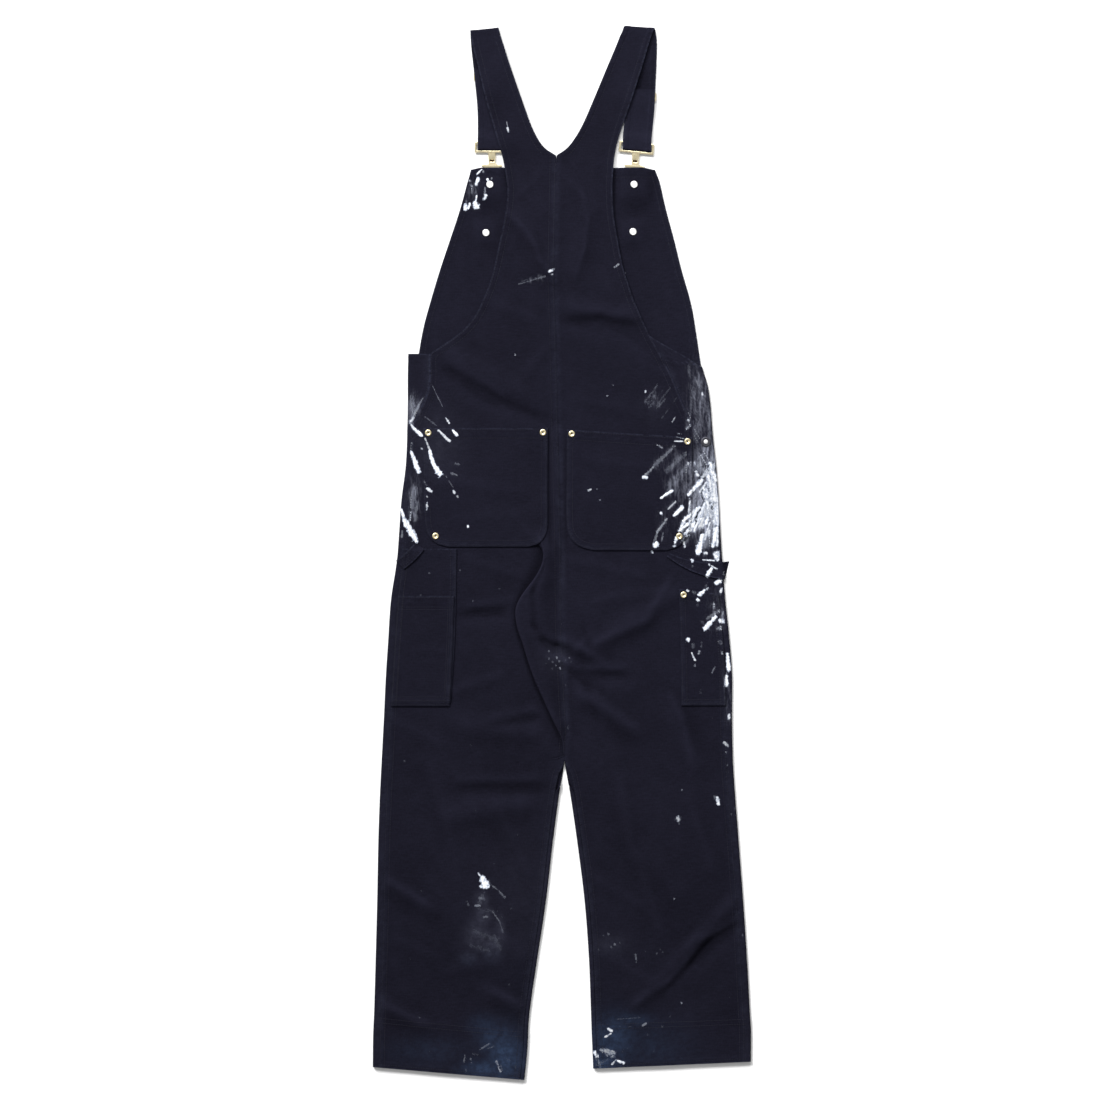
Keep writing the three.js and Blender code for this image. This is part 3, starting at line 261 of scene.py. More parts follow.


# %% [markdown]
# ## How the cloth lies
# Duck canvas is stiff: laid flat it keeps broad soft swellings, a few sharp creases from being
# worn, and a slow waviness. The largest are the same as in the solid model. The small ones are
# listed one by one, each a ridge or a trough between two places of the photograph.

# %% Small creases, in photo pixels, with width and height in millimetres
SMALL_CREASES = table("from_x from_y to_x to_y width height",
    (451, 374, 485, 396, 5, -0.9), (485, 396, 549, 421, 5, -0.8), (455, 366, 500, 392, 7, 0.8),
    (574, 322, 600, 319, 5, -0.8), (600, 319, 627, 329, 5, -0.9), (627, 329, 667, 364, 5, -1.0),
    (580, 312, 630, 318, 7, 0.8), (506.7, 212, 521, 226.5, 4, 0.8),
    (521, 226.5, 534.6, 245, 4, 0.9), (534.6, 245, 540.8, 262, 4, 0.8),
    (540.8, 262, 552, 275, 4, 0.6), (564.5, 175, 583, 197.5, 4, 0.5),
    (583, 197.5, 588, 222, 4, 0.6), (588, 222, 584, 251, 4, 0.6), (584, 251, 577, 274, 4, 0.5),
    (535.6, 179, 522, 193.4, 4, 0.4), (471, 615, 513, 611, 5, -0.9), (475, 606, 512, 602, 7, 0.8),
    (500, 725, 536, 718, 5, -0.9), (498, 716, 534, 709, 7, 0.9), (467, 789, 533, 789, 6, -0.7),
    (470, 780, 535, 779, 7, 0.8), (392, 883, 423, 903, 5, 1.2), (376, 1003, 420, 1020, 5, 1.2),
    (499, 991, 520, 1001, 5, 1.1), (586, 676, 617, 676, 5, -1.0), (588, 668, 620, 668, 6, 0.9),
    (599, 642, 646, 621, 6, 1.0), (646, 621, 669, 582, 6, 1.0), (588, 697, 633, 728, 6, 1.1),
    (673, 699, 682, 718, 5, 1.1), (682, 718, 692, 754, 5, 1.0), (740, 917, 705, 938, 5, 0.8),
    (705, 938, 690, 957, 5, 0.8), (690, 957, 668, 982, 5, 0.75), (668, 982, 640, 1001, 5, 0.7),
    (742, 923, 707, 943, 5, -0.85), (707, 943, 692, 962, 5, -0.85), (692, 962, 670, 986, 5, -0.75),
    (422, 650, 445, 652, 4, 0.8), (432, 661, 445, 664, 4, 0.7), (541, 567, 533, 590, 5, -1.2),
    (533, 590, 535, 627, 5, -1.2), (535, 627, 545, 641, 5, -1.2), (545, 641, 564, 648, 5, -1.2),
    (563, 650, 582, 661, 5, -1.8), (548, 655, 576, 668, 5, 0.9), (566, 643, 588, 653, 5, 1.1),
    (579, 662, 588, 690, 8, -1.0), (588, 690, 596, 714, 9, -0.9), (585, 632, 590, 646, 5, -0.7),
    (538, 640, 556, 646, 5, -0.9), (546, 745, 562, 722, 6, 0.6), (549, 425, 551, 540, 4, -1.1),
    (568, 440, 566, 540, 4, -0.8), (480, 612, 509, 616, 4, -1.1), (571, 640, 600, 661, 5, 1.0),
    (566, 668, 600, 690, 5, -0.9), (569, 664, 585, 640, 5, 0.8), (430, 760, 452, 840, 9, 0.6),
    (505, 820, 528, 870, 8, 0.7), (400, 940, 440, 958, 8, 0.6), (448, 970, 500, 960, 8, 0.6),
    (620, 780, 632, 850, 9, 0.7), (690, 800, 712, 868, 8, 0.7), (600, 880, 640, 905, 8, 0.6),
    (640, 860, 660, 930, 9, 0.6), (615, 960, 660, 985, 8, 0.6), (395, 720, 440, 742, 8, 0.7),
    (585, 400, 620, 408, 8, 0.5), (520, 380, 545, 350, 8, 0.5), (440, 480, 520, 492, 9, 0.6),
    (590, 460, 670, 470, 9, 0.5), (450, 520, 530, 512, 8, 0.4), (575, 560, 640, 575, 8, 0.7),
    (600, 600, 660, 590, 8, 0.7), (470, 560, 520, 575, 8, 0.7), (455, 690, 500, 676, 8, 0.8),
    (560, 190, 556, 250, 9, 0.4), (490, 300, 530, 318, 9, 0.6))
print("creases", len(CREASES["width"]), "large and", len(SMALL_CREASES["width"]), "small")


# %% Lines and bulges
def from_line(x, y, start, end):
    """Distance along a line, beside it and beyond its ends, and the line's own length."""
    dx, dy = end[0] - start[0], end[1] - start[1]
    length = max(math.hypot(dx, dy), 1e-6)
    along = ((x - start[0]) * dx + (y - start[1]) * dy) / length
    aside = ((x - start[0]) * dy - (y - start[1]) * dx) / length
    return along, aside, np.maximum(0, np.maximum(-along, along - length)), length


def bulge(x, y, centre_x, centre_y, reach_x, reach_y, power=2):
    """A round hill, 1 at its centre."""
    far = ((x - centre_x) / reach_x) ** power + ((y - centre_y) / reach_y) ** power
    return np.exp(-far)


def crease_height(creases, x, y, end_fade):
    height = np.zeros(np.broadcast(x, y).shape)
    for start, end, width, rise in creases:
        _, aside, beyond, _ = from_line(x, y, start, end)
        height += rise * np.exp(-((aside / width) ** 2) - beyond**2 / end_fade)
    return height


def waviness(x, y, size, seed):
    """Smooth noise between -1 and 1 that is the same on every run."""
    grid = np.random.default_rng(seed).uniform(-1, 1, (64, 64))
    u, v = np.broadcast_arrays(x / size + 20.3, y / size + 20.7)
    i, j = np.floor(u).astype(int), np.floor(v).astype(int)
    s, t = ease(u - i), ease(v - j)
    corner = lambda a, b: grid[(i + a) % 64, (j + b) % 64]
    return mix(mix(corner(0, 0), corner(1, 0), s), mix(corner(0, 1), corner(1, 1), s), t)


# %% Height of the upper cloth
large_creases = [(row[:2], row[2:4], *row[4:]) for row in zip(*CREASES.values())]
small_creases = [(spot(*row[:2]), spot(*row[2:4]), *row[4:])
                 for row in zip(*SMALL_CREASES.values())]


def centre_seam(y):
    return np.interp(np.maximum(y, CROTCH_Y), CENTRE_SEAM["y"][::-1], CENTRE_SEAM["x"][::-1])


def edge_fade(x, y):
    """0 at the edges of the cloth, where it is held down, and 1 inside them."""
    outer, inner = (np.where(x < 0, across(LEG_OUTLINE, edge + "_left", y),
                             across(LEG_OUTLINE, edge + "_right", y))
                    for edge in ("outer", "inner"))
    fade = ease((np.abs(outer - x) - 3) / 18)
    leg = ease((np.abs(inner - x) - 3) / 16)
    crotch = ease(np.hypot(x - 3, y - CROTCH_Y) / 30)
    return np.where(y > WAIST_Y + 20, 1, fade * np.where(y < CROTCH_Y, leg, crotch))


def relief(x, y):
    """How far the upper cloth lies above or below its mean level."""
    height = crease_height(large_creases, x, y, 400)
    for *hill, rise in zip(*SWELLS.values()):
        height += rise * bulge(x, y, *hill)
    height = np.maximum(height, -1.4) + 1.35 * crease_height(small_creases, x, y, 120)
    height += 0.34 * waviness(x, y, 52, 3) + 0.16 * waviness(x, y, 21, 5)
    return np.maximum(height, -1.7) * edge_fade(x, y)


def slant(side, x, y):
    """The hems run a little slanted across the cloth."""
    hem = ease((-560 - y) / 150)
    if side < 0:
        return -18 * hem * np.clip((x + 264) / 212, 0, 1) + 2 * hem
    return 9.5 * hem * np.clip((x - 44) / 218, 0, 1)


# %% [markdown]
# ## From a grid of points to a wall of cloth
# A single sheet of faces has no thickness and shows its inside through every gap. So each piece
# gets a second grid under the first, and a rim joins the two: a closed wall. Hems are folded
# twice, so the wall swells near them. Each vertex remembers how far it is from a hem and from a
# seam, and the finish reads that later.

# %% Helpers for grids
FAR = 99.0


def spaced(line, step):
    """The same line with a point every step."""
    line = np.asarray(line, float)[:, :2]
    run = np.concatenate([[0], np.cumsum(np.hypot(*np.diff(line, axis=0).T))])
    at = np.linspace(0, run[-1], max(2, int(run[-1] / step) + 1))
    return np.stack([np.interp(at, run, line[:, 0]), np.interp(at, run, line[:, 1])], 1)


def near(points, lines):
    """Distance from each point to the nearest of some lines, seen from above."""
    if not lines:
        return np.full(len(points), FAR)
    samples = np.concatenate([spaced(line, 1.5) for line in lines])
    tree = KDTree(len(samples))
    for k, (x, y) in enumerate(samples):
        tree.insert((x, y, 0), k)
    tree.balance()
    return np.array([tree.find((x, y, 0))[2] for x, y in points])


def smoothed(height, reach):
    """Mean of the height over a square of grid points."""
    for axis in (0, 1):
        pad = [(reach + 1, reach) if k == axis else (0, 0) for k in (0, 1)]
        total = np.cumsum(np.pad(height, pad, mode="edge"), axis=axis)
        behind = np.arange(height.shape[axis])
        ahead = behind + 2 * reach + 1
        height = (np.take(total, ahead, axis) - np.take(total, behind, axis)) / (2 * reach + 1)
    return height


def from_strap_edge(rows):
    run = np.cumsum(np.linalg.norm(np.diff(rows, axis=1, prepend=rows[:, :1]), axis=2), axis=1)
    return np.minimum(run, run[:, -1:] - run)


def quads(grid):
    """The corners of the faces between the points of a grid."""
    corners = [grid[:-1, :-1], grid[1:, :-1], grid[1:, 1:], grid[:-1, 1:]]
    return np.stack(corners, -1).reshape(-1, 4)


def mesh_of(name, points, faces, map_name, uv):
    """A mesh with a map: one place of the map for each vertex."""
    mesh = bpy.data.meshes.new(name)
    mesh.from_pydata(points.tolist(), [], faces.tolist())
    loops = np.zeros(len(mesh.loops), int)
    mesh.loops.foreach_get("vertex_index", loops)
    mesh.uv_layers.new(name=map_name).uv.foreach_set("vector", uv[loops].ravel())
    return mesh


# %% Cloth wall
TURNED = [0, 3, 2, 1]
cloths, cloth_shapes = {}, []


def cloth_piece(name, middle, hems=(), seams=(), hem_width=8.5, hem_swell=0.55, extra=0, painted_shading=0,
                strap=0):
    """A closed wall of cloth round a grid. The first rows may be a strap."""
    rows, columns = middle.shape[:2]
    plan = middle[..., :2].reshape(-1, 2)
    hem, seam = (near(plan, lines).reshape(rows, columns) for lines in (hems, seams))
    if strap:
        hem[:strap], seam[:strap] = from_strap_edge(middle[:strap]), FAR
    # Ridges above the smoothed cloth are made lighter and hollows darker: partly wear, partly
    # painted shade. The painted shading of the pleat and the straps is added to it.
    wear_and_painted_shade = np.clip(middle[..., 2] - smoothed(middle[..., 2], 4), -1.2, 1.2)
    wear_and_painted_shade = wear_and_painted_shade * (np.arange(rows)[:, None] >= strap) + painted_shading
    swell = (hem_swell * ease((hem_width - hem) / 2.2) + extra)[..., None]
    normal = np.cross(*np.gradient(middle, axis=(0, 1)))
    normal /= np.maximum(np.linalg.norm(normal, axis=2, keepdims=True), 1e-9)
    centre = middle + np.array([0, 0, 1]) * swell / 2
    half_wall = normal * (WALL / 2 + swell / 2)
    points = np.concatenate([(centre + part).reshape(-1, 3) for part in (half_wall, -half_wall)])
    n = rows * columns
    index = np.arange(n).reshape(rows, columns)
    face = quads(index)
    rim = np.concatenate([index[0], index[1:, -1], index[-1, -2::-1], index[-2:0:-1, 0]])
    after = np.roll(rim, -1)
    sides = np.stack([rim, after, after + n, rim + n], -1)
    faces = np.concatenate([face, face[:, TURNED] + n, sides])
    return finish_cloth(name, middle, normal[..., 2], points, faces, (hem, seam, wear_and_painted_shade))


def finish_cloth(name, middle, up, points, faces, kept):
    points = in_metres(points)
    points[:, 2] = np.maximum(points[:, 2], 0)
    step_u = np.linalg.norm(np.diff(middle, axis=1), axis=2)
    step_v = np.linalg.norm(np.diff(middle[:, middle.shape[1] // 2], axis=0), axis=1)
    u = np.concatenate([np.zeros((len(middle), 1)), np.cumsum(step_u, axis=1)], 1)
    v = np.broadcast_to(np.concatenate([[0], np.cumsum(step_v)])[:, None], u.shape)
    uv = np.stack([u, v], -1).reshape(-1, 2) / 1000
    mesh = mesh_of(name, points, faces, "cloth", np.concatenate([uv, uv]))
    for key, values in zip(("hem_near", "seam_near", "wear_and_painted_shade"), kept):
        set_values(mesh, key, [values, values])
    set_values(mesh, "face_up", [up, -up])
    mesh.shade_smooth()
    mesh.set_sharp_from_angle(angle=math.radians(48))
    cloth_shapes.append((points, faces))
    cloths[name] = linked(name, mesh)
    print(name, "triangles", 2 * len(faces))


# %% [markdown]
# ## Back panels
# The high back is two panels joined down the middle by a felled seam. Each runs over the
# shoulder as a strap, passes round the bar of its hook and comes back up to the slider. The
# panel and its strap are one cut of cloth, so they are one grid here too: rows from the hem
# up to the shoulder, over the fold, down the front, round the bar and back.

# %% Seams of the panels
SIDES = {-1: ("left", "outer_left", "inner_left"), 1: ("right", "outer_right", "inner_right")}


def outer_seam(side, y):
    key, outer, _ = SIDES[side]
    hip_inset = abs(across(LEG_OUTLINE, outer, HIP_END_Y) - across(BACK_EDGES, key, HIP_END_Y))
    inset = mix(hip_inset, LEG_SEAM_INSET, ease((HIP_END_Y - y) / 120))
    leg = across(LEG_OUTLINE, outer, y) - side * inset
    return np.where(y >= HIP_END_Y, across(BACK_EDGES, key, y), leg)


def inner_seam(side, y):
    key, _, inner = SIDES[side]
    inset = INSEAM_INSET * ease((CROTCH_Y - y) / 22)
    leg = across(LEG_OUTLINE, inner, y) + side * (SEAM_GAP / 2 + inset)
    above = np.where(y > NECK_Y, across(NECK_EDGES, key, y), centre_seam(y) + side * SEAM_GAP / 2)
    return np.where(y >= CROTCH_Y, above, leg)


def edge_line(side, seam, high, low):
    y = np.arange(high, low, -2.0)
    x = seam(side, y)
    return np.stack([x, y + slant(side, x, y)], 1)


# %% Strap rows
SLACK = 7
STRAP_ENDS = {"left": (733.2, 0.1, 676), "right": (736.2, -0.07, 648.6)}


def strap_rows(key):
    """Each row: height along the strap, height above the floor, share on the back, tilt."""
    top_y, top_tilt, return_y = STRAP_ENDS[key]
    fold_y = top_y - FOLD_REACH
    bar_y = BUCKLES[key][1] + 10.8
    turn_y = bar_y - SLACK
    bar_tilt = math.tan(math.radians(BUCKLES[key][2]))
    rows = []
    for t in np.linspace(0, 1, 4):
        rows.append((mix(STRAP_JOIN_Y, fold_y, t), UPPER_LEVEL, mix(1, 0.8, t), top_tilt * t))
    for degrees in np.arange(15, 180, 15):
        angle = math.radians(degrees)
        y = fold_y + FOLD_RADIUS * math.sin(angle)
        z = FLOOR_LEVEL + FOLD_RADIUS * (1 + math.cos(angle))
        rows.append((y, z, 0.8 - 0.75 * degrees / 180, top_tilt))
    for y in np.linspace(fold_y, turn_y, 44):
        tilt = top_tilt * ease((y - 660) / 65) + bar_tilt * ease((660 - y) / 70)
        rows.append((y, FLOOR_LEVEL, 0, tilt))
    radius = BUCKLE_THICK / 2 + 0.3 + WALL / 2
    for degrees in np.arange(18, 181, 18):
        angle = math.radians(degrees)
        z = FLOOR_LEVEL + radius * (1 - math.cos(angle))
        rows.append((turn_y - radius * math.sin(angle), z, 0, bar_tilt))
    resting = FLOOR_LEVEL + WALL + 0.3
    over_slider = resting + SLIDER_THICK + 0.3
    slider_y = SLIDERS[key][1]
    steps = [turn_y, bar_y + 6, bar_y + 18, slider_y - 34, slider_y - 8, return_y]
    levels = [FLOOR_LEVEL + 2 * radius] * 2 + [resting] * 2 + [over_slider] * 2
    for y in np.linspace(turn_y, return_y, 34)[1:]:
        rows.append((y, np.interp(y, steps, levels), 0, bar_tilt * ease((slider_y - y) / 60)))
    return rows


def strap_grid(key, share):
    """The strap as rows of points, with the same columns as its panel."""
    side = -1 if key == "left" else 1
    grid = []
    for y, z, on_back, tilt in strap_rows(key):
        back, neck = across(BACK_EDGES, key, y), across(NECK_EDGES, key, y)
        middle = mix(across(STRAP_LINES[key], "x", y), (back + neck) / 2, on_back)
        aside = side * mix(STRAP_WIDTH, abs(back - neck), on_back) * (0.5 - share)
        grid.append(np.stack([middle + aside, y + aside * tilt, np.full_like(share, z)], 1))
    return np.array(grid)


# %% Right panel
def panel_levels(step):
    return np.linspace(STRAP_JOIN_Y - 2.5, HEM_Y, int((STRAP_JOIN_Y - HEM_Y) / step))[:, None]


def right_panel():
    level = panel_levels(3.7)
    share = np.linspace(0, 1, 66)
    x = mix(outer_seam(1, level), inner_seam(1, level), share)
    middle = np.stack([x, level + slant(1, x, level), UPPER_LEVEL + relief(x, level)], -1)
    return middle, share, 0 * x


# %% [markdown]
# Left of the centre seam the seat has pressed a knife pleat into the cloth: the panel doubles
# under itself and its fold edge shows. The section of each row there runs along the panel,
# turns back under the fold, turns again and comes down to the seam.

# %% Left panel with its pleat
RUN, TURN, UNDER, TOP = 46, 7, 5, 22


def left_panel():
    """Points of the panel, their share across it, and the painted shade and highlight of the pleat.
    """
    level = panel_levels(3.9)
    outer, inner = outer_seam(-1, level), inner_seam(-1, level)
    after_run = np.linspace(0.72, 1, 2 * TURN + UNDER + TOP + 1)[1:]
    share = np.concatenate([np.linspace(0, 0.72, RUN), after_run])
    x = mix(outer, inner, share)
    z = UPPER_LEVEL + relief(x, level)
    turned = ease((44 - level) / 50) * ease((level - CROTCH_Y) / 5)
    path_x, path_z = pleat_path(level, outer, inner)
    x, z = mix(x, path_x, turned), mix(z, path_z, turned)
    beside_fold = across(PLEAT, "edge", level) - x
    column = np.arange(x.shape[1])
    wide = 3.4 + 7 * ease((level + 66) / 30)
    # Beside the fold the cloth is lowered and painted in shade; along the fold's top edge runs a
    # painted highlight.
    hollow = turned * np.exp(-((beside_fold / wide) ** 2)) * (column < RUN)
    pleat_painted_highlight = 0.7 * turned * np.exp(-((beside_fold + 3) / 5) ** 2) * (column > RUN + TURN)
    middle = np.stack([x, level + slant(-1, x, level), z - 1.2 * hollow], -1)
    return middle, share, pleat_painted_highlight - 2.2 * hollow


def pleat_path(level, outer, inner):
    edge = across(PLEAT, "edge", level)
    room = inner - edge
    reach = np.minimum(FOLD_REACH, room * 0.3)
    radius = PLEAT_LIFT / 2 * np.clip(room / 20, 0.12, 1)
    start = edge + reach
    hidden = start + np.clip(across(PLEAT, "under", level), 0.4, room * 0.3)
    run_x = mix(outer, hidden, np.linspace(0, 1, RUN))
    run_z = UPPER_LEVEL + relief(run_x, level) * (1 - ease((run_x - edge + 24) / 20))
    angle = np.pi * np.arange(1, TURN + 1) / TURN
    turn_x = hidden + radius * np.sin(angle)
    turn_z = UPPER_LEVEL + radius * (1 - np.cos(angle))
    under_x = mix(hidden, start, np.arange(1, UNDER + 1) / UNDER)
    top = UPPER_LEVEL + 2 * radius
    back_x = start - radius * np.sin(angle)
    back_z = top + radius * (1 - np.cos(angle))
    over = hidden + reach
    share = np.arange(1, TOP + 1) / TOP
    top_x = np.where(share < 0.4, mix(start, over, share / 0.4),
                     mix(over, inner, (share - 0.4) / 0.6))
    down = ease((top_x - over + 6) / (inner - over + 6))
    top_z = mix(top + 2 * radius + 0.2 * ease(share * 4), UPPER_LEVEL + relief(inner, level), down)
    creased = crease_height(small_creases, top_x, level, 60)
    top_z = top_z + 1.3 * creased * ease(share * 3) * ease((1 - share) * 8)
    xs = np.concatenate([run_x, turn_x, under_x, back_x, top_x], 1)
    return xs, np.concatenate([run_z, turn_z, top + 0 * under_x, back_z, top_z], 1)


# %% Felled seam and hem band, as extra thickness
def hem_fold(side, x):
    """The line of stitches that holds a leg's hem, across the leg."""
    return mix(-648, -669, (x + 260) / 213) if side < 0 else mix(-658, -650, (x - 43) / 217)


def hem_band(side, x, y):
    """Extra depth of the double cloth at the foot of a leg."""
    return 0.5 * ease((hem_fold(side, x) - y) / 1.5) * (y < HEM_BAND_Y)


def felled_seam(side, x, y):
    if side > 0:
        return 0 * x
    depth = 0.5 * ease((6.5 - np.abs(x - centre_seam(y) + 5.5)) / 1.2)
    return depth * ease((430 - y) / 30) * (y > CROTCH_Y) * ease((y + 20) / 20)


# %% Sewing panel and strap together
RETURNED_ROWS = 36
# The turned end of each strap is painted lighter, and the strap that lies on the floor is painted
# in shade.
RETURNED_PAINTED_LIGHT, FLOOR_STRAP_PAINTED_SHADE = 1.2, -0.75


def back_piece(side):
    key, low = SIDES[side][0], OPEN_SIDE_END[side]
    panel, share, shade = left_panel() if side < 0 else right_panel()
    strap = strap_grid(key, share)[::-1]
    hems = [edge_line(side, outer_seam, STRAP_JOIN_Y, low),
            edge_line(side, inner_seam, STRAP_JOIN_Y, NECK_Y), panel[-1]]
    seams = [edge_line(side, outer_seam, low, HEM_Y), edge_line(side, inner_seam, NECK_Y, HEM_Y)]
    x, y = panel[..., 0], panel[..., 1]
    extra = np.concatenate([0 * strap[..., 0], felled_seam(side, x, y) + hem_band(side, x, y)])
    turned_back = strap[..., 2] < 2.9
    returned = np.arange(len(strap))[:, None] < RETURNED_ROWS
    strap_painted_shading = np.where(returned, RETURNED_PAINTED_LIGHT, np.where(turned_back, FLOOR_STRAP_PAINTED_SHADE, 0))
    cloth_piece(f"back_cloth_{key}", np.concatenate([strap, panel]), hems, seams, hem_swell=0.45,
                extra=extra, painted_shading=np.concatenate([strap_painted_shading, shade]), strap=len(strap))


for side in SIDES:
    back_piece(side)


# %% [markdown]
# ## Fronts and bib
# The fronts lie on the floor. On the outer side the cloth folds up and over and its lip meets
# the back panel at the side seam. On the inner leg it curls up and meets the panel at the
# inseam. The bib lies under the open back and shows at both armholes. It rides over the hooks
# and button heads that it is fastened to.

# %% Front of a leg
def waist_line(x):
    return WAIST_Y - 18 * (np.maximum(0, x) / 202) ** 2


def front_piece(side):
    key, outer_key, inner_key = SIDES[side]
    level = np.linspace(WAIST_Y - SEAM_GAP, HEM_Y, 210)[:, None]
    fold = across(LEG_OUTLINE, outer_key, level) - side * FOLD_REACH
    near_top = ease((level - 190) / (WAIST_Y - 190)) * (side > 0)
    t = np.linspace(0, 1, 14)
    lip_y = level + near_top * mix(25, -18, t**0.8)
    lip_x = mix(outer_seam(side, lip_y) + side * SEAM_GAP, fold, t)
    lip_z = UPPER_LEVEL + relief(lip_x, lip_y)
    angle = np.pi * np.arange(1, 10) / 9
    turn_x = fold + side * FOLD_RADIUS * np.sin(angle)
    turn_y = level - 18 * near_top + 0 * turn_x
    turn_z = FLOOR_LEVEL + FOLD_RADIUS * (1 + np.cos(angle)) + 0 * turn_x
    run = inner_run(side, level, fold, inner_key)
    x, y, z = (np.concatenate(parts, 1) for parts in
               zip((lip_x, lip_y, lip_z), (turn_x, turn_y, turn_z), run))
    y = y + slant(side, x, y)
    middle = np.stack([x, y, z], -1)
    hems = [middle[0], middle[-1]]
    if side < 0:
        hems.append(edge_line(side, outer_seam, 279, OPEN_SIDE_END[side]))
    seams = [edge_line(side, outer_seam, 279, HEM_Y), edge_line(side, inner_seam, CROTCH_Y, HEM_Y)]
    cloth_piece(f"front_cloth_{key}", middle, hems, seams, hem_swell=0.3,
                extra=hem_band(side, x, y) * (z > 2.5))


def inner_run(side, level, fold, inner_key):
    """From the outer fold across the floor to the seam between the legs."""
    to_gap = -side
    curl = ease((CROTCH_Y - 24 - level) / 22)
    turn = np.pi * np.maximum(curl, 0.02)
    radius = np.pi * FOLD_RADIUS / turn
    lip = SEAM_GAP + curl * (INSEAM_INSET - FOLD_REACH - 0.6)
    leg_edge = np.where(level > CROTCH_Y, centre_seam(level), across(LEG_OUTLINE, inner_key, level))
    half = radius * np.sin(turn) + lip * np.cos(turn) + (WALL / 2) * np.sin(turn)
    reach = np.where(curl > 0.5, radius + WALL / 2, half)
    start = leg_edge + side * SEAM_GAP / 2 - to_gap * reach
    floor_x = mix(fold, start, np.arange(1, 31) / 30)
    drop_y = (waist_line(floor_x) - WAIST_Y) * ease((level - 150) / (WAIST_Y - 150))
    part = np.arange(1, 9) / 8
    curl_x = start + to_gap * radius * np.sin(turn * part)
    curl_z = FLOOR_LEVEL + radius * (1 - np.cos(turn * part))
    end = np.array([0.5, 1.0])
    lip_x = curl_x[:, -1:] + to_gap * lip * np.cos(turn) * end
    lip_z = curl_z[:, -1:] + lip * np.sin(turn) * end
    return (np.concatenate([floor_x, curl_x, lip_x], 1),
            np.concatenate([level + drop_y, level + 0 * curl_x, level + 0 * lip_x], 1),
            np.concatenate([FLOOR_LEVEL + 0 * floor_x, curl_z, lip_z], 1))


for side in SIDES:
    front_piece(side)


# %% Bib
def bib_height(x, y):
    """It lies on the floor and rides over the hooks and buttons under it."""
    height = 0 * x
    for *hill, rise in zip(*BIB_RAISES.values()):
        height = np.maximum(height, rise * bulge(x, y, *hill, power=4))
    return FLOOR_LEVEL + height + 0.4 * ease(waviness(x, y, 34, 9)) * ease((500 - y) / 40)


def bib_piece():
    level = np.linspace(539, WAIST_Y, 76)[:, None]
    x = mix(*both_edges(BIB_EDGES, level), np.linspace(0, 1, 110))
    y = level + (waist_line(x) - WAIST_Y) * ease((350 - level) / 71)
    y = y - 3.2 * ease((np.abs(x) - 110) / 24) * ease((level - 515) / 24)
    middle = np.stack([x, y, bib_height(x, y)], -1)
    hems = [middle[0], middle[:, 0], middle[:, -1]]
    cloth_piece("bib_cloth", middle, hems, hem_width=9.5, hem_swell=0.5)


bib_piece()


# %% [markdown]
# ## Pockets, loops and bands
# A patch pocket is a second layer laid on the panel, so its height is read from the cloth under
# it: a ray is dropped at each point and the patch rests on what the ray meets, with the small
# steps under it smoothed out as stiff canvas does.

# %% Reading the height of what lies below
def height_reader():
    starts = np.cumsum([0] + [len(points) for points, _ in cloth_shapes])
    points = np.concatenate([points for points, _ in cloth_shapes])
    faces = np.concatenate([faces + start for (_, faces), start in zip(cloth_shapes, starts)])
    return BVHTree.FromPolygons(points.tolist(), faces.tolist())


def drop(reader, x, y):
    """Top of the cloth below each place, in millimetres, or -1 where there is none."""
    heights = np.full(x.size, -1.0)
    for k, (px, py) in enumerate(zip(x.ravel(), y.ravel())):
        above = ((px + CENTRE_SHIFT[0]) / 1000, (py + CENTRE_SHIFT[1]) / 1000, 0.05)
        hit = reader.ray_cast(above, (0, 0, -1))[0]
        if hit is not None:
            heights[k] = hit.z * 1000
    return heights.reshape(x.shape)


def laid_on(x, y, rounds=3):
    """Height of the middle of a cloth that lies on the others."""
    reader = height_reader()
    height = np.maximum(drop(reader, x - 0.6, y), drop(reader, x + 0.6, y))
    for _ in range(rounds):
        pad = np.pad(height, 1, mode="edge")
        around = (pad[:-2, 1:-1] + pad[2:, 1:-1] + pad[1:-1, :-2] + pad[1:-1, 2:]) / 4
        height = np.maximum(height, mix(height, around, 0.7))
    return height + WALL / 2 + PATCH_LIFT


# %% Patches, with the slant of their top and the places of their stitches
PATCHES = {
    "pocket_cloth_left": (POCKET_LEFT, 3.2, 0, (2.0, 8.6), (2.5, 14.0)),
    "pocket_cloth_right": (POCKET_RIGHT, 3.2, 11, (2.0, 8.6), (2.5, 14.0)),
    "tool_cloth_left_tall": (TOOL_TALL, 3.2, 0, (2.0, 8.0), ()),
    "tool_cloth_left_short": (TOOL_SHORT, 3.2, 0, (2.0, 8.0), (2.5, 15.5, 19.0)),
    "tool_cloth_right": (TOOL_RIGHT, 3.0, 7, (2.0, 8.0), (2.5, 15.5)),
}


def patch_piece(name, rows, step, top_slant, *_):
    high, low = max(rows["y"]), min(rows["y"])
    level = np.linspace(high, low, int((high - low) / step) + 1)[:, None]
    left, right = both_edges(rows, level)
    share = np.linspace(0, 1, int((right[0, 0] - left[0, 0]) / step) + 1)
    x = mix(left, right, share)
    y = level - top_slant * share * ease((level - low) / 100)
    middle = np.stack([x, y, laid_on(x, y)], -1)
    rim = [middle[:, 0], middle[-1], middle[:, -1]]
    cloth_piece(name, middle, [middle[0]], rim, hem_width=14, hem_swell=0.4)


for name, patch in PATCHES.items():
    patch_piece(name, *patch)


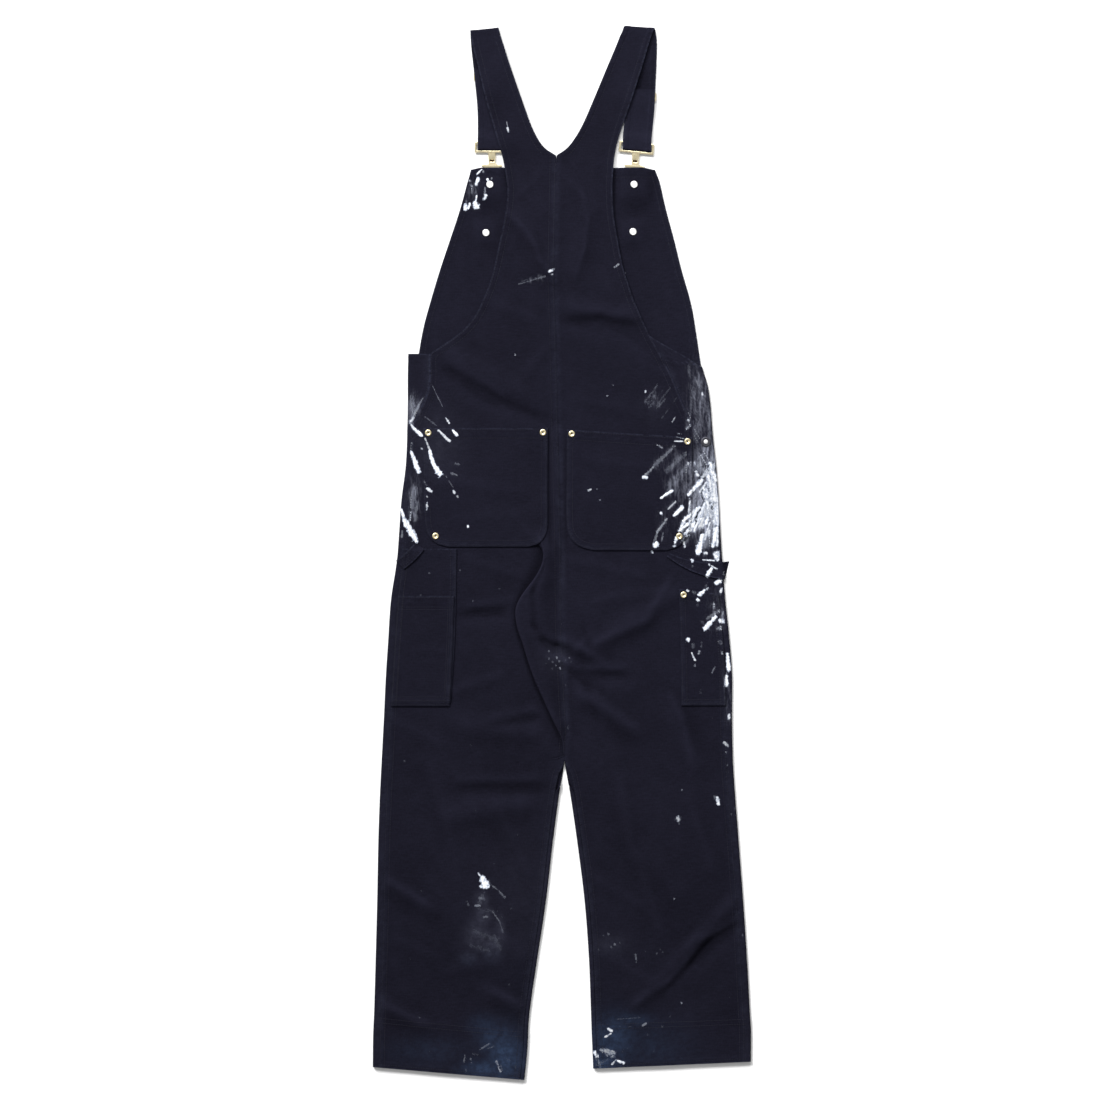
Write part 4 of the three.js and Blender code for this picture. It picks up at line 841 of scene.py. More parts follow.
# %% Loops and bands
def band_piece(name, ends, widths, bow):
    """A narrow band between two places, bowed sideways in its middle."""
    start, end = np.array(ends)
    run = end - start
    sideways = np.array([-run[1], run[0]]) / np.hypot(*run)
    t = np.linspace(0, 1, int(np.hypot(*run) / 2.2))[:, None]
    s = mix(*widths, t) / 2 * np.linspace(1, -1, 9) + 4 * t * (1 - t) * bow
    x, y = (start[k] + run[k] * t + sideways[k] * s for k in (0, 1))
    middle = np.stack([x, y, laid_on(x, y)], -1)
    cloth_piece(name, middle, [middle[:, 0], middle[:, -1]], hem_width=3.2, hem_swell=0.3)


band_piece("hammer_loop_cloth", LOOP_ENDS, (16, 16), 1.5)
band_piece("tool_band_cloth", BAND_ENDS, (6, 26), -6.5)


# %% [markdown]
# ## Finishes
# Each finish is a small tree of shader nodes. `Mask` wraps a socket so that plain arithmetic
# adds the Math nodes, and `Finish.node` makes any other node from its type, settings and inputs.

# %% Writing shader maths as Python
class Mask:
    """A value that changes over the surface."""

    def __init__(self, finish, socket):
        self.finish, self.socket = finish, socket

    def math(self, operation, *others):
        return self.finish.maths(operation, self, *others)

    __add__ = __radd__ = lambda self, other: self.math("ADD", other)
    __mul__ = __rmul__ = lambda self, other: self.math("MULTIPLY", other)
    __sub__ = lambda self, other: self.math("SUBTRACT", other)
    __rsub__ = lambda self, other: self.finish.maths("SUBTRACT", other, self)

    def step(self, low, high):
        sockets = {"Value": self, "From Min": low, "From Max": high}
        return self.finish.node("MapRange", {"interpolation_type": "SMOOTHSTEP"}, sockets)


class Finish:
    """A material under construction."""

    def __init__(self, name):
        self.material = bpy.data.materials.new(name)
        self.material.use_nodes = True
        self.tree = self.material.node_tree
        self.tree.nodes.clear()

    def node(self, kind, settings=None, sockets=None, output=0):
        made = self.tree.nodes.new("ShaderNode" + kind)
        for key, value in (settings or {}).items():
            setattr(made, key, value)
        for key, value in (sockets or {}).items():
            if isinstance(value, Mask):
                self.tree.links.new(value.socket, made.inputs[key])
            else:
                made.inputs[key].default_value = value
        return Mask(self, made.outputs[output])

    def maths(self, operation, *terms):
        return self.node("Math", {"operation": operation}, dict(enumerate(terms)))

    def place(self):
        return self.node("TexCoord", output=3)

    def noise(self, place, scale, detail=2, rough=0.5):
        sockets = {"Vector": place, "Scale": scale, "Detail": detail, "Roughness": rough}
        return self.node("TexNoise", None, sockets)

    def stretched(self, place, scale, turn=0):
        sockets = {"Vector": place, "Scale": scale, "Rotation": (0, 0, turn)}
        return self.node("Mapping", None, sockets)

    def mixed(self, factor, *colours):
        a, b = ((*c, 1) if isinstance(c, tuple) else c for c in colours)
        return self.node("Mix", {"data_type": "RGBA"}, {0: factor, 6: a, 7: b}, 2)

    def read(self, name):
        return self.node("Attribute", {"attribute_name": name}, None, 2)

    def part(self, vector, axis):
        return self.node("SeparateXYZ", None, {0: vector}, axis)

    def bump(self, height, strength, distance):
        sockets = {"Height": height, "Strength": strength, "Distance": distance}
        return self.node("Bump", None, sockets)

    def done(self, **sockets):
        sockets = {key.replace("_", " "): value for key, value in sockets.items()}
        shader = self.node("BsdfPrincipled", None, sockets)
        out = self.tree.nodes.new("ShaderNodeOutputMaterial")
        self.tree.links.new(shader.socket, out.inputs["Surface"])
        return self.material


# %% [markdown]
# ### Duck canvas
# The cloth is a plain weave of thick cotton yarn, dyed a blue black. Its colour is nearly flat,
# so what the eye reads is the weave's grain, slow fading over the body, and the pale bluish
# lines where hems and seams have rubbed. Shade is painted in too: the cloth is painted lighter
# towards the shoulders as a falloff of light, ridges lighter and hollows darker (partly wear,
# partly painted shade), and the pleat and straps carry painted shade and highlight. Stains and
# the dust of dried paint are soft masks that each vertex keeps.

# %% Canvas finish
def canvas_finish(name, base, faded):
    f = Finish(name)
    flat = f.node("UVMap", {"uv_map": "cloth"})
    place = f.place()
    body, patchy = f.noise(place, 7.5, 3), f.noise(place, 38, 3, 0.6)
    grain = f.noise(f.stretched(flat, (1, 0.35, 1)), 620, 2, 0.7)
    slub = f.noise(f.stretched(flat, (0.16, 1, 1)), 520, 2, 0.6)
    hem, seam = f.read("hem_near"), f.read("seam_near")
    height_up = f.part(place, 1)
    # Noise gives the slow fading and the grain. Towards the shoulders the cloth is painted lighter,
    # a painted falloff of light, and the ridge and hollow mark lightens ridges and darkens hollows:
    # partly wear, partly painted shade.
    tone = (body.step(0.3, 0.7) * 0.2 + patchy.step(0.3, 0.72) * 0.14 + grain.step(0.3, 0.7) * 0.3
            + slub.step(0.3, 0.7) * 0.26 + height_up.step(-0.75, 0.05) * 0.2
            + f.read("wear_and_painted_shade") * 0.25 - 0.05)
    colour = f.mixed(tone, base, faded)
    rub = f.noise(place, 210, 3, 0.7)
    rubbed_edge = (1 - hem.step(0.5, 2.8)) * rub.step(0.36, 0.62)
    ridge = hem.step(6.0, 8.0) * (1 - hem.step(8.6, 11.5)) * rub.step(0.44, 0.7) * 0.5
    roped = (1 - seam.step(2.0, 9.0)) * (0.16 + 0.4 * f.noise(place, 90, 3).step(0.4, 0.7))
    worn = rubbed_edge * 0.16 + ridge * 0.065 + roped * 0.1
    colour = f.mixed(worn, colour, (0.075, 0.085, 0.14))
    stained = f.read("stain") * (0.42 + 0.5 * f.noise(place, 125, 3, 0.6).step(0.3, 0.7))
    washed = f.mixed(height_up.step(-0.62, -0.54), (0.021, 0.034, 0.068), (0.033, 0.034, 0.052))
    colour = f.mixed(stained, colour, washed)
    wiped = f.noise(f.stretched(place, (1, 0.17, 1), 0.12), 230, 4, 0.6)
    caught = 0.2 + grain.step(0.36, 0.66) * 0.3 + wiped.step(0.34, 0.68) * 0.75
    colour = f.mixed((f.read("dust") * caught).step(0.05, 1.1), colour, (0.38, 0.40, 0.50))
    weave = (f.part(flat, 0) * 10800).math("SINE") * (f.part(flat, 1) * 9800).math("SINE")
    pucker = f.noise(place, 240, 1) * (1 - seam.math("MINIMUM", hem).step(3.0, 13.0))
    height = weave * 0.16 + grain * 0.55 + slub * 0.5 + patchy * 1.3 + pucker * 1.5
    return f.done(Base_Color=colour, Roughness=0.86 + 0.1 * grain,
                  Normal=f.bump(height, 0.55, 0.0011), Specular_IOR_Level=0.05)


canvas = canvas_finish("duck_canvas", (0.0042, 0.0040, 0.0082), (0.0106, 0.0104, 0.0198))
front_canvas = canvas_finish("duck_canvas_front", (0.0047, 0.0044, 0.0088),
                             (0.0112, 0.0110, 0.0206))


# %% Thread finish
def thread_finish():
    f = Finish("waxed_thread")
    twist = f.noise(f.place(), 900, 2)
    colour = f.mixed(twist.step(0.35, 0.65), (0.0058, 0.0056, 0.0112), (0.0142, 0.0145, 0.026))
    colour = f.mixed(f.read("dust").step(0.25, 0.9), colour, (0.62, 0.66, 0.74))
    return f.done(Base_Color=colour, Roughness=0.6 + 0.2 * twist,
                  Normal=f.bump(twist, 0.4, 0.0003), Specular_IOR_Level=0.2)


thread = thread_finish()


# %% Metal finishes
def metal_finish(name, bright, dull, roughness, rubbed_at=None, patina_and_shade=(0.10, 0.06, 0.03)):
    f = Finish(name)
    place = f.place()
    handled, spots = f.noise(place, 260, 4, 0.65), f.noise(place, 900, 3, 0.7)
    colour = f.mixed(handled.step(0.42, 0.72) * 0.75, bright, dull)
    colour = f.mixed(spots.step(0.62, 0.72) * 0.6, colour, tuple(c * 0.4 for c in dull))
    if rubbed_at:
        away = f.node("VectorMath", {"operation": "DISTANCE"}, {0: place, 1: rubbed_at}, 1)
        colour = f.mixed(away.step(0.0026, 0.0038), (0.95, 0.95, 0.96), colour)
    # The hollow mark takes the dark colour: patina in the rivet pits, painted shade on the plate
    # under each hook window.
    colour = f.mixed(f.read("hollow"), colour, patina_and_shade)
    return f.done(Base_Color=colour, Metallic=1.0, Roughness=roughness + 0.22 * handled,
                  Normal=f.bump(handled + spots * 0.5, 0.12, 0.0004))


brass = metal_finish("worn_brass", (0.95, 0.85, 0.58), (0.66, 0.53, 0.30), 0.24)
rivet_brass = metal_finish("rivet_brass", (0.90, 0.80, 0.52), (0.62, 0.50, 0.28), 0.3,
                           patina_and_shade=(0.40, 0.30, 0.16))
blackened = metal_finish("blackened_button", (0.08, 0.08, 0.095), (0.045, 0.045, 0.055), 0.45,
                         rubbed_at=(0.2012, 0.155, 0.0075))
nickel = metal_finish("nickel_cap", (0.97, 0.97, 0.96), (0.86, 0.86, 0.85), 0.4)


# %% [markdown]
# ### Dried paint
# White wall paint, wiped off on the cloth with fingers and dragged by a dry brush. Thick dabs
# have a crisp edge; drags break up into streaks along the stroke, because the paint only
# catches on the crowns of the weave. The streaks follow the stroke's own map.

# %% Paint finish
def paint_finish():
    f = Finish("dried_paint")
    along, place = f.node("UVMap", {"uv_map": "stroke"}), f.place()
    inside, cover, streak = f.read("inside"), f.read("cover"), f.read("streak")
    drag = f.noise(f.stretched(along, (0.09, 1, 1)), 640, 3, 0.6)
    broad = f.noise(f.stretched(along, (0.16, 1, 1)), 210, 2, 0.5)
    blot, ragged = f.noise(place, 170, 3, 0.6), f.noise(place, 330, 2, 0.6)
    fine = f.noise(place, 850, 2, 0.7)
    field = (inside.step(-0.36, 0.85) + (cover - 1) * 0.55 + (drag + broad - 1.0) * streak * 1.9
             + (blot + ragged - 1.0) * 1.5 + (fine - 0.5) * 0.7)
    opaque = (cover * cover * cover * 1.15).math("MINIMUM", 1.0)
    thick = field.step(0.6, 1.1) * cover.step(0.25, 0.85)
    return f.done(Base_Color=f.mixed(thick, (0.34, 0.38, 0.47), (0.84, 0.86, 0.89)),
                  Roughness=0.42 + 0.25 * blot,
                  Alpha=field.step(0.42, 0.58) * opaque * inside.step(-0.6, -0.35),
                  Normal=f.bump(field.step(0.6, 1.6) + drag * 0.4, 0.6, 0.0005))


paint = paint_finish()
paint.surface_render_method = "DITHERED"
print("finishes", len(bpy.data.materials))


# %% [markdown]
# ## Paint marks
# Every stroke is a row: where it starts and ends in the photograph, how wide it is, how well it
# covers and how streaky it is. A speck is a dot and needs only its place, width and cover. Each
# becomes a small patch of mesh laid on the cloth, a tenth of a millimetre above it.

# %% Marks, in photo pixels
STROKES = (
    (481.8, 170, 477, 174.8, 2.4, 0.9, 0.2), (483.4, 172, 483.5, 172.4, 2.2, 0.6, 0),
    (478, 179.2, 476.2, 184.4, 3.4, 1, 0.1), (469.2, 180, 470.2, 181.2, 2.5, 0.6, 0.2),
    (470.2, 184.4, 472.2, 187.2, 1.8, 0.6, 0.4), (472.2, 187.2, 471.8, 193.6, 2, 0.55, 0.5),
    (475.4, 188, 476, 193, 1.9, 0.42, 0.4), (476.8, 196, 475.2, 204, 2.6, 0.95, 0.2),
    (475.2, 204, 476.4, 206.6, 6, 1, 0.1), (477, 207.4, 478.6, 208, 2.6, 0.8, 0),
    (465.6, 204.8, 465.4, 209.2, 3.8, 1, 0.1), (469.8, 204, 468.4, 208.4, 2.2, 0.95, 0.1),
    (466.4, 201, 466.2, 203, 2.2, 0.42, 0.4), (487.8, 180, 487.9, 180.3, 2.4, 0.95, 0),
    (491.8, 178.8, 492, 179, 2.2, 0.6, 0.2), (485, 188, 484.8, 194.5, 3.6, 0.62, 0.5),
    (485.8, 196, 484.5, 198.6, 3.2, 1, 0.1), (483.4, 183.2, 483.6, 184, 3, 0.34, 0.3),
    (410.7, 396, 413, 413, 3.2, 0.49, 0.8), (414, 396, 414, 410, 4, 0.41, 0.9),
    (422.7, 398.7, 410.4, 422, 3.8, 0.5, 0.7), (414, 417.3, 410, 423.6, 3.4, 0.85, 0.3),
    (410, 423, 414.7, 429.3, 3, 0.85, 0.2), (414.7, 429.3, 421.3, 435.3, 4.6, 1.1, 0.1),
    (422, 448.7, 422.3, 449, 2.3, 0.75, 0), (425.3, 438.7, 430, 450.7, 3, 0.75, 0.4),
    (430, 450.7, 433.3, 464, 4.8, 1.1, 0.15), (433.3, 464, 440, 474, 6, 1.2, 0.05),
    (432, 384.7, 442.7, 406.7, 1.7, 0.5, 0.4), (446, 418, 449.3, 423.3, 2.5, 0.85, 0.2),
    (453.3, 430.7, 457, 435.3, 4.2, 1, 0.1), (438.7, 430.7, 450, 441.3, 3.8, 0.85, 0.35),
    (425.3, 417.3, 436, 425.3, 2.6, 0.46, 0.6), (411.6, 452, 418.6, 471.6, 5.6, 1.1, 0.15),
    (412, 442.7, 411.6, 452, 2.8, 0.55, 0.5), (427.3, 488.7, 431.6, 491.6, 2.8, 0.85, 0.1),
    (424, 480.7, 426.7, 485.3, 1.8, 0.42, 0.3), (427.3, 496.5, 427.4, 497, 2, 0.65, 0),
    (427.3, 502.7, 427, 509.3, 3.1, 0.8, 0.2), (455.5, 464, 459, 464.4, 2.8, 0.46, 0.5),
    (451.5, 473.6, 456.5, 475, 2.8, 0.5, 0.5), (446, 476, 453.3, 488, 1.8, 0.5, 0.4),
    (454, 491.6, 454.4, 492.6, 3.1, 0.85, 0.1), (457.3, 496, 457.8, 497, 2.1, 0.65, 0),
    (414.7, 487, 412.7, 506.7, 7.4, 0.4, 0.7), (417.3, 503, 416, 520, 6, 0.46, 0.8),
    (411.6, 512, 409.6, 520, 4.4, 0.62, 0.4), (401.6, 510, 406, 525, 4.4, 1.2, 0.1),
    (405, 520, 414.4, 537.6, 7.6, 1.2, 0.1), (411, 528, 416.6, 541.4, 5, 1.1, 0.2),
    (402.4, 531, 402, 537, 3, 0.55, 0.4), (468, 526, 468.2, 526.6, 2.7, 0.95, 0),
    (645.3, 391.5, 645.4, 392, 2.1, 0.85, 0), (656, 393.3, 648, 404, 3.4, 0.41, 1),
    (665.3, 398.7, 657.3, 408, 3, 0.39, 1), (675.3, 416.7, 672, 422, 1.9, 0.65, 0.3),
    (687.4, 420.3, 688.6, 420.4, 2.6, 0.75, 0.1), (690, 425.3, 686.7, 428.7, 2.6, 0.6, 0.3),
    (702, 394, 702.2, 394.8, 2.6, 0.85, 0), (695.3, 378, 699, 388, 2, 0.5, 0.6),
    (674, 441.3, 682.7, 441.6, 1.9, 0.9, 0.2), (676, 437.3, 684, 438.7, 1.5, 0.6, 0.3),
    (678, 433.7, 681.3, 434, 1.5, 0.62, 0.2), (657.3, 445.3, 662, 448, 1.9, 0.62, 0.3),
    (674, 446, 653.3, 466.7, 5.2, 0.5, 0.85), (653.3, 466.7, 644, 477.4, 4.4, 0.62, 0.6),
    (643.4, 477.4, 646, 477.6, 3.1, 1, 0), (685.3, 453.3, 666.7, 470.7, 8, 0.41, 0.9),
    (690, 464, 668, 488, 9, 0.39, 0.95), (660.6, 498.4, 671.4, 491, 3.5, 1.1, 0.1),
    (688.4, 494.4, 701.3, 480.4, 5.2, 1.1, 0.3), (688, 463.4, 688.2, 464.6, 2.6, 0.75, 0.1),
    (694.5, 462.6, 695, 464, 2.3, 0.85, 0), (696, 471.5, 697.4, 475, 3.2, 0.85, 0.2),
    (702.7, 477.3, 714, 465, 7.4, 0.85, 0.6), (709.6, 459.4, 714.6, 466, 4.4, 0.62, 0.5),
    (668, 509.3, 675.3, 502, 3.1, 0.75, 0.3), (674.2, 515.4, 681.8, 507.6, 5.2, 1.2, 0.1),
    (660.4, 512.8, 661, 513.8, 2.7, 1, 0), (666.7, 518.7, 657.3, 532, 3.8, 0.66, 0.5),
    (657.3, 532, 654, 542.7, 3.6, 0.54, 0.7), (654.9, 545.9, 656.8, 543.4, 4.2, 1.1, 0),
    (651.8, 551.8, 652.2, 552.2, 2.7, 0.85, 0), (663.3, 532, 661.3, 541.3, 2.8, 0.5, 0.6),
    (689.3, 498.7, 688.7, 513.3, 1.7, 0.9, 0.1), (682.7, 521.3, 698.7, 508, 4.8, 1.1, 0.2),
    (678.7, 530.7, 689.3, 522.7, 3.8, 1, 0.2), (674.9, 542, 676.5, 537.6, 3.1, 0.95, 0.1),
    (673.6, 546.2, 674.4, 545.6, 2.5, 0.85, 0), (683.4, 542, 684.7, 546.7, 2.3, 0.85, 0.1),
    (687, 531.6, 697.3, 520, 6, 1.1, 0.2), (697.3, 520, 706.7, 505.3, 6.6, 0.9, 0.45),
    (702.7, 528, 709.3, 506.7, 5, 0.85, 0.55), (703, 488, 706, 497, 7, 1.1, 0.2),
    (708, 476, 712.6, 500, 8, 0.9, 0.55), (713.4, 468, 714.6, 500, 6.5, 0.8, 0.6),
    (714.6, 486, 715, 530, 6, 0.95, 0.35), (702.4, 535.4, 697.8, 552.4, 6.6, 1.2, 0.1),
    (709.3, 530.7, 708.7, 536, 3.1, 0.85, 0.2), (716.6, 527, 712.9, 546, 5, 1.1, 0.15),
    (715.6, 554, 716.6, 557, 5, 0.85, 0.3), (704.6, 553.4, 706, 553.2, 3.1, 0.85, 0.1),
    (714.4, 508, 711.6, 528, 6.4, 0.55, 0.9), (692, 500, 697, 496, 4, 0.45, 0.8),
    (700.6, 456, 696, 470, 7, 0.44, 0.9), (706, 440, 705, 462, 7, 0.42, 0.9),
    (700, 400, 696, 440, 8, 0.33, 1), (708, 404, 709.6, 450, 5, 0.41, 1),
    (691.6, 560.2, 691.8, 560.8, 3, 0.95, 0), (692.2, 565.4, 692.4, 566.4, 2.5, 0.42, 0.2),
    (702.4, 559.8, 714.4, 560.6, 1.9, 0.95, 0.1), (711.2, 568.6, 707.4, 575.4, 5, 1.2, 0.1),
    (711.4, 565.8, 717, 569.2, 2.2, 0.85, 0.2), (709, 564.4, 709.4, 565, 2.2, 0.85, 0),
    (723.4, 572, 723.6, 575, 1.7, 0.62, 0.3), (716.6, 583, 719.6, 581, 4.4, 0.95, 0.1),
    (707, 583, 705.6, 586, 2.5, 0.45, 0.3), (720.4, 592, 721.6, 588.6, 2.5, 0.85, 0.1),
    (687.2, 590.2, 687.8, 590.8, 2.7, 0.85, 0), (692.8, 591.8, 694.2, 592.8, 4, 0.42, 0.3),
    (704.4, 590, 699.2, 594.8, 4.5, 1.1, 0.1), (706.8, 588.8, 707.8, 588.2, 2.5, 0.75, 0),
    (697.4, 599.6, 697.8, 600.4, 3.1, 1, 0), (697.6, 604, 697.4, 606, 2.2, 0.36, 0.3),
    (713.4, 603.6, 712.6, 607.6, 3.1, 0.48, 0.5), (715.2, 616.6, 705.2, 628.2, 5.2, 1.2, 0.08),
    (719.2, 610.8, 707.2, 618, 5.2, 0.5, 0.75), (723.4, 611, 721, 619.6, 3.8, 0.62, 0.5),
    (720.6, 620.6, 721.6, 620.4, 4.6, 1.1, 0), (718.8, 628.6, 720.8, 627.6, 4.2, 0.62, 0.3),
    (701.4, 621.6, 702, 622.8, 2.6, 0.42, 0.2), (687.6, 639.2, 688, 640, 3.5, 1.1, 0),
    (691.6, 652.8, 694.6, 660, 2.4, 0.85, 0.2), (692.4, 644, 693, 647.4, 4, 0.42, 0.6),
    (698.8, 651.2, 698.6, 653.4, 2.7, 0.65, 0.1), (701.4, 642.4, 701, 646.4, 2.7, 0.4, 0.4),
    (694.5, 664.6, 694.6, 666, 2.5, 0.55, 0.1), (721.4, 652.2, 721.8, 653.4, 2.5, 0.65, 0),
    (727.4, 654, 728.4, 669, 5, 1.2, 0.15), (714.8, 666.6, 712, 672.4, 3, 0.52, 0.4),
    (726.2, 676, 726.2, 684.8, 4.5, 1.2, 0.05), (700.6, 690, 700.6, 692.4, 3.1, 0.3, 0.3),
    (729, 715, 728.8, 718, 3.1, 0.85, 0.1), (711.2, 716, 711.8, 716.8, 2.2, 0.36, 0),
    (719.2, 641, 720.4, 643, 4, 0.38, 0.4), (506.8, 122.5, 508.4, 131, 1.8, 0.6, 0.3),
    (507.6, 128.6, 508.4, 132.6, 2.2, 0.78, 0.2), (519, 284.4, 545, 277, 2.4, 0.46, 0.9),
    (522, 281, 541, 276.6, 3.2, 0.39, 1), (549.4, 272, 554, 270, 2.7, 0.9, 0.1),
    (551.6, 275, 552.6, 275, 1.9, 0.6, 0), (614.6, 267.6, 618.4, 264.6, 2.2, 0.62, 0.4),
    (624.6, 273, 625.4, 273, 1.7, 0.45, 0), (515, 354.6, 515.2, 355.4, 1.9, 0.65, 0),
    (606.8, 396, 607.4, 396, 1.9, 0.6, 0), (612.8, 385, 613.3, 385.4, 1.7, 0.5, 0),
    (588.4, 490.6, 591, 489.6, 2.2, 0.75, 0.2), (596.8, 489, 597.4, 489.2, 1.7, 0.55, 0),
    (599.8, 500, 600.2, 500.2, 1.8, 0.55, 0), (428.6, 573, 429.6, 573, 2.1, 0.4, 0.2),
    (459.6, 570, 460.4, 570, 2, 0.36, 0.2), (420.2, 595, 421, 595, 1.9, 0.38, 0.2),
    (472.6, 600.7, 473.2, 600.7, 2, 0.38, 0.2), (737, 764, 738.4, 772, 2.2, 0.55, 0.5),
    (738, 786, 739.4, 804, 2.4, 0.5, 0.7), (713, 458, 702, 512, 12, 0.5, 1),
    (716, 486, 706, 545, 11, 0.5, 1), (704, 470, 690, 520, 10, 0.52, 1),
    (698, 500, 684, 540, 12, 0.44, 1), (710, 500, 700, 528, 8, 0.8, 0.7),
    (717, 500, 717, 545, 4, 0.9, 0.4), (706, 500, 711, 516, 6, 0.9, 0.5),
    (702, 456, 699, 470, 8, 0.52, 1), (712, 446, 713, 462, 5, 0.45, 0.9),
    (478.4, 872.6, 481.5, 877.5, 2.6, 0.9, 0.2), (482.5, 878, 486, 884.5, 10.5, 1, 0.1),
    (481, 886, 487.6, 886.4, 5.4, 1, 0.2), (490, 883, 496, 888, 2, 0.46, 0.5),
    (496, 888, 505, 896.8, 3.4, 0.5, 0.5), (475, 905, 479.6, 905.2, 2.6, 0.6, 0.2),
    (480, 897, 484, 898.6, 3.4, 0.46, 0.5), (466.5, 901, 468.5, 905, 2.6, 0.42, 0.6),
    (484, 916.4, 487.4, 915.8, 2.4, 0.46, 0.4), (492.6, 911, 500, 921.7, 2.2, 0.46, 0.5),
    (500, 921.7, 503, 932, 2.6, 0.4, 0.6), (465, 1054, 464.3, 1061, 2.8, 0.46, 0.4),
    (470.8, 1058, 471.6, 1062, 2, 0.5, 0.2), (496.7, 1061, 497.6, 1063.6, 2.8, 0.6, 0.2),
    (498.3, 1065.7, 500.6, 1070.9, 2.2, 0.65, 0.2), (500.6, 1064.6, 502.2, 1069.6, 1.6, 0.4, 0.2),
    (480, 1049, 489, 1043.2, 2.6, 0.48, 0.5), (488, 1048, 494, 1045.4, 2.4, 0.48, 0.5),
    (473.5, 1053.2, 477.4, 1054, 2.4, 0.36, 0.3), (505, 1057, 510, 1060, 1.6, 0.3, 0.3),
    (605, 1036.4, 610.6, 1033, 3, 0.8, 0.2), (608.4, 1028.4, 611.2, 1030, 3, 0.85, 0.1),
    (642.5, 1024.8, 646, 1022.8, 2.4, 0.55, 0.2), (601.5, 1049.5, 612.5, 1053, 8.2, 0.66, 0.7),
    (606, 1054.4, 614.6, 1053.2, 3.6, 0.55, 0.7), (594.4, 1051.6, 597, 1055.6, 3.6, 0.95, 0.1),
    (596, 1057, 598, 1061, 3.4, 0.42, 0.5), (616, 1059, 612, 1063.6, 2.8, 0.75, 0.2),
    (617.5, 1060, 623.6, 1062.2, 3.8, 0.9, 0.2), (616, 1025.4, 632, 1026.2, 1.2, 0.36, 0.3),
    (617, 1018.6, 639, 1017, 1.4, 0.42, 0.5), (717, 797, 717.7, 803.8, 5, 0.9, 0.2),
    (714.4, 796, 715.4, 800, 2.6, 0.5, 0.4), (677.6, 816.6, 678, 819.8, 4, 0.72, 0.4),
    (724, 742.4, 727.4, 745.6, 3, 0.7, 0.3), (635.2, 954, 635.7, 958.6, 2.6, 0.5, 0.4))
SPECKS = (
    (511.5, 907.7, 2, 0.32), (502, 916.2, 2, 0.32), (494, 863.3, 2.2, 0.32),
    (515.3, 1065.7, 2.4, 0.32), (516, 1035.2, 2.4, 0.3), (466, 1069.2, 3, 0.34),
    (647.7, 1034.2, 2.4, 0.5), (662, 1025.7, 2, 0.38), (653.7, 1050.1, 2.8, 0.4),
    (622, 1050.1, 2.4, 0.42), (624.8, 1049.7, 2, 0.36), (627.6, 1047.2, 2.4, 0.32),
    (611.7, 1020.2, 2.6, 0.38), (681.6, 789.4, 2.4, 0.5), (674.8, 818.3, 2, 0.46),
    (681, 817.1, 1.8, 0.46), (678.6, 822.7, 2, 0.46), (673.9, 897.7, 2, 0.6),
    (608.4, 933.2, 2.8, 0.45), (603.5, 934.7, 2, 0.36), (614.8, 943.6, 2.8, 0.5),
    (611, 946.2, 2.4, 0.4), (619.7, 942, 2, 0.36), (598.7, 949.4, 2, 0.34), (636, 961.3, 1.8, 0.4),
    (656.8, 952.6, 2, 0.4), (662.6, 951, 2, 0.42), (660, 948.7, 1.6, 0.36),
    (645.5, 950.7, 1.6, 0.34), (681.3, 1002.3, 2.1, 0.6), (669.7, 1016.2, 1.7, 0.36),
    (726, 751.7, 2, 0.5), (727, 764.7, 2, 0.45), (727.7, 771.7, 1.8, 0.42), (734, 807.7, 1.8, 0.42),
    (731, 813.7, 1.8, 0.4), (736.4, 826.7, 1.8, 0.4), (742.6, 934.7, 2.4, 0.42),
    (729.4, 996.2, 1.6, 0.32), (421.6, 890, 2.6, 0.33), (421, 866.2, 1.6, 0.32),
    (438.8, 877.1, 1.5, 0.32), (410, 957.7, 2, 0.36), (419.6, 1016.1, 2.4, 0.44),
    (430, 1050.5, 2, 0.32), (509, 983.7, 3, 0.36), (475.5, 809.7, 1.8, 0.32),
    (381.5, 968.7, 1.6, 0.32), (430.8, 928.7, 1.6, 0.32), (517.6, 834.1, 1.8, 0.32),
    (499.5, 588.7, 2, 0.38), (473, 600.5, 1.9, 0.48), (404.7, 760.5, 2.4, 0.38),
    (470.5, 744.7, 1.6, 0.32), (448, 521.7, 1.7, 0.36), (460, 570.7, 2.4, 0.42),
    (549, 650.7, 2, 0.5), (548.5, 658.3, 2, 0.45), (556.8, 657.3, 2.2, 0.55),
    (552.4, 661.7, 2, 0.5), (559, 660.5, 2, 0.5), (555.7, 664.9, 2.2, 0.55), (560, 667.7, 2.4, 0.6),
    (552.4, 667.7, 1.6, 0.4), (565.5, 659.4, 1.6, 0.42), (569.4, 657.3, 1.8, 0.42),
    (571, 661.7, 1.5, 0.36), (545.9, 662.7, 1.5, 0.36), (565.5, 684.6, 2, 0.32),
    (576.4, 633.2, 1.5, 0.36), (567.7, 727.1, 2.4, 0.36))
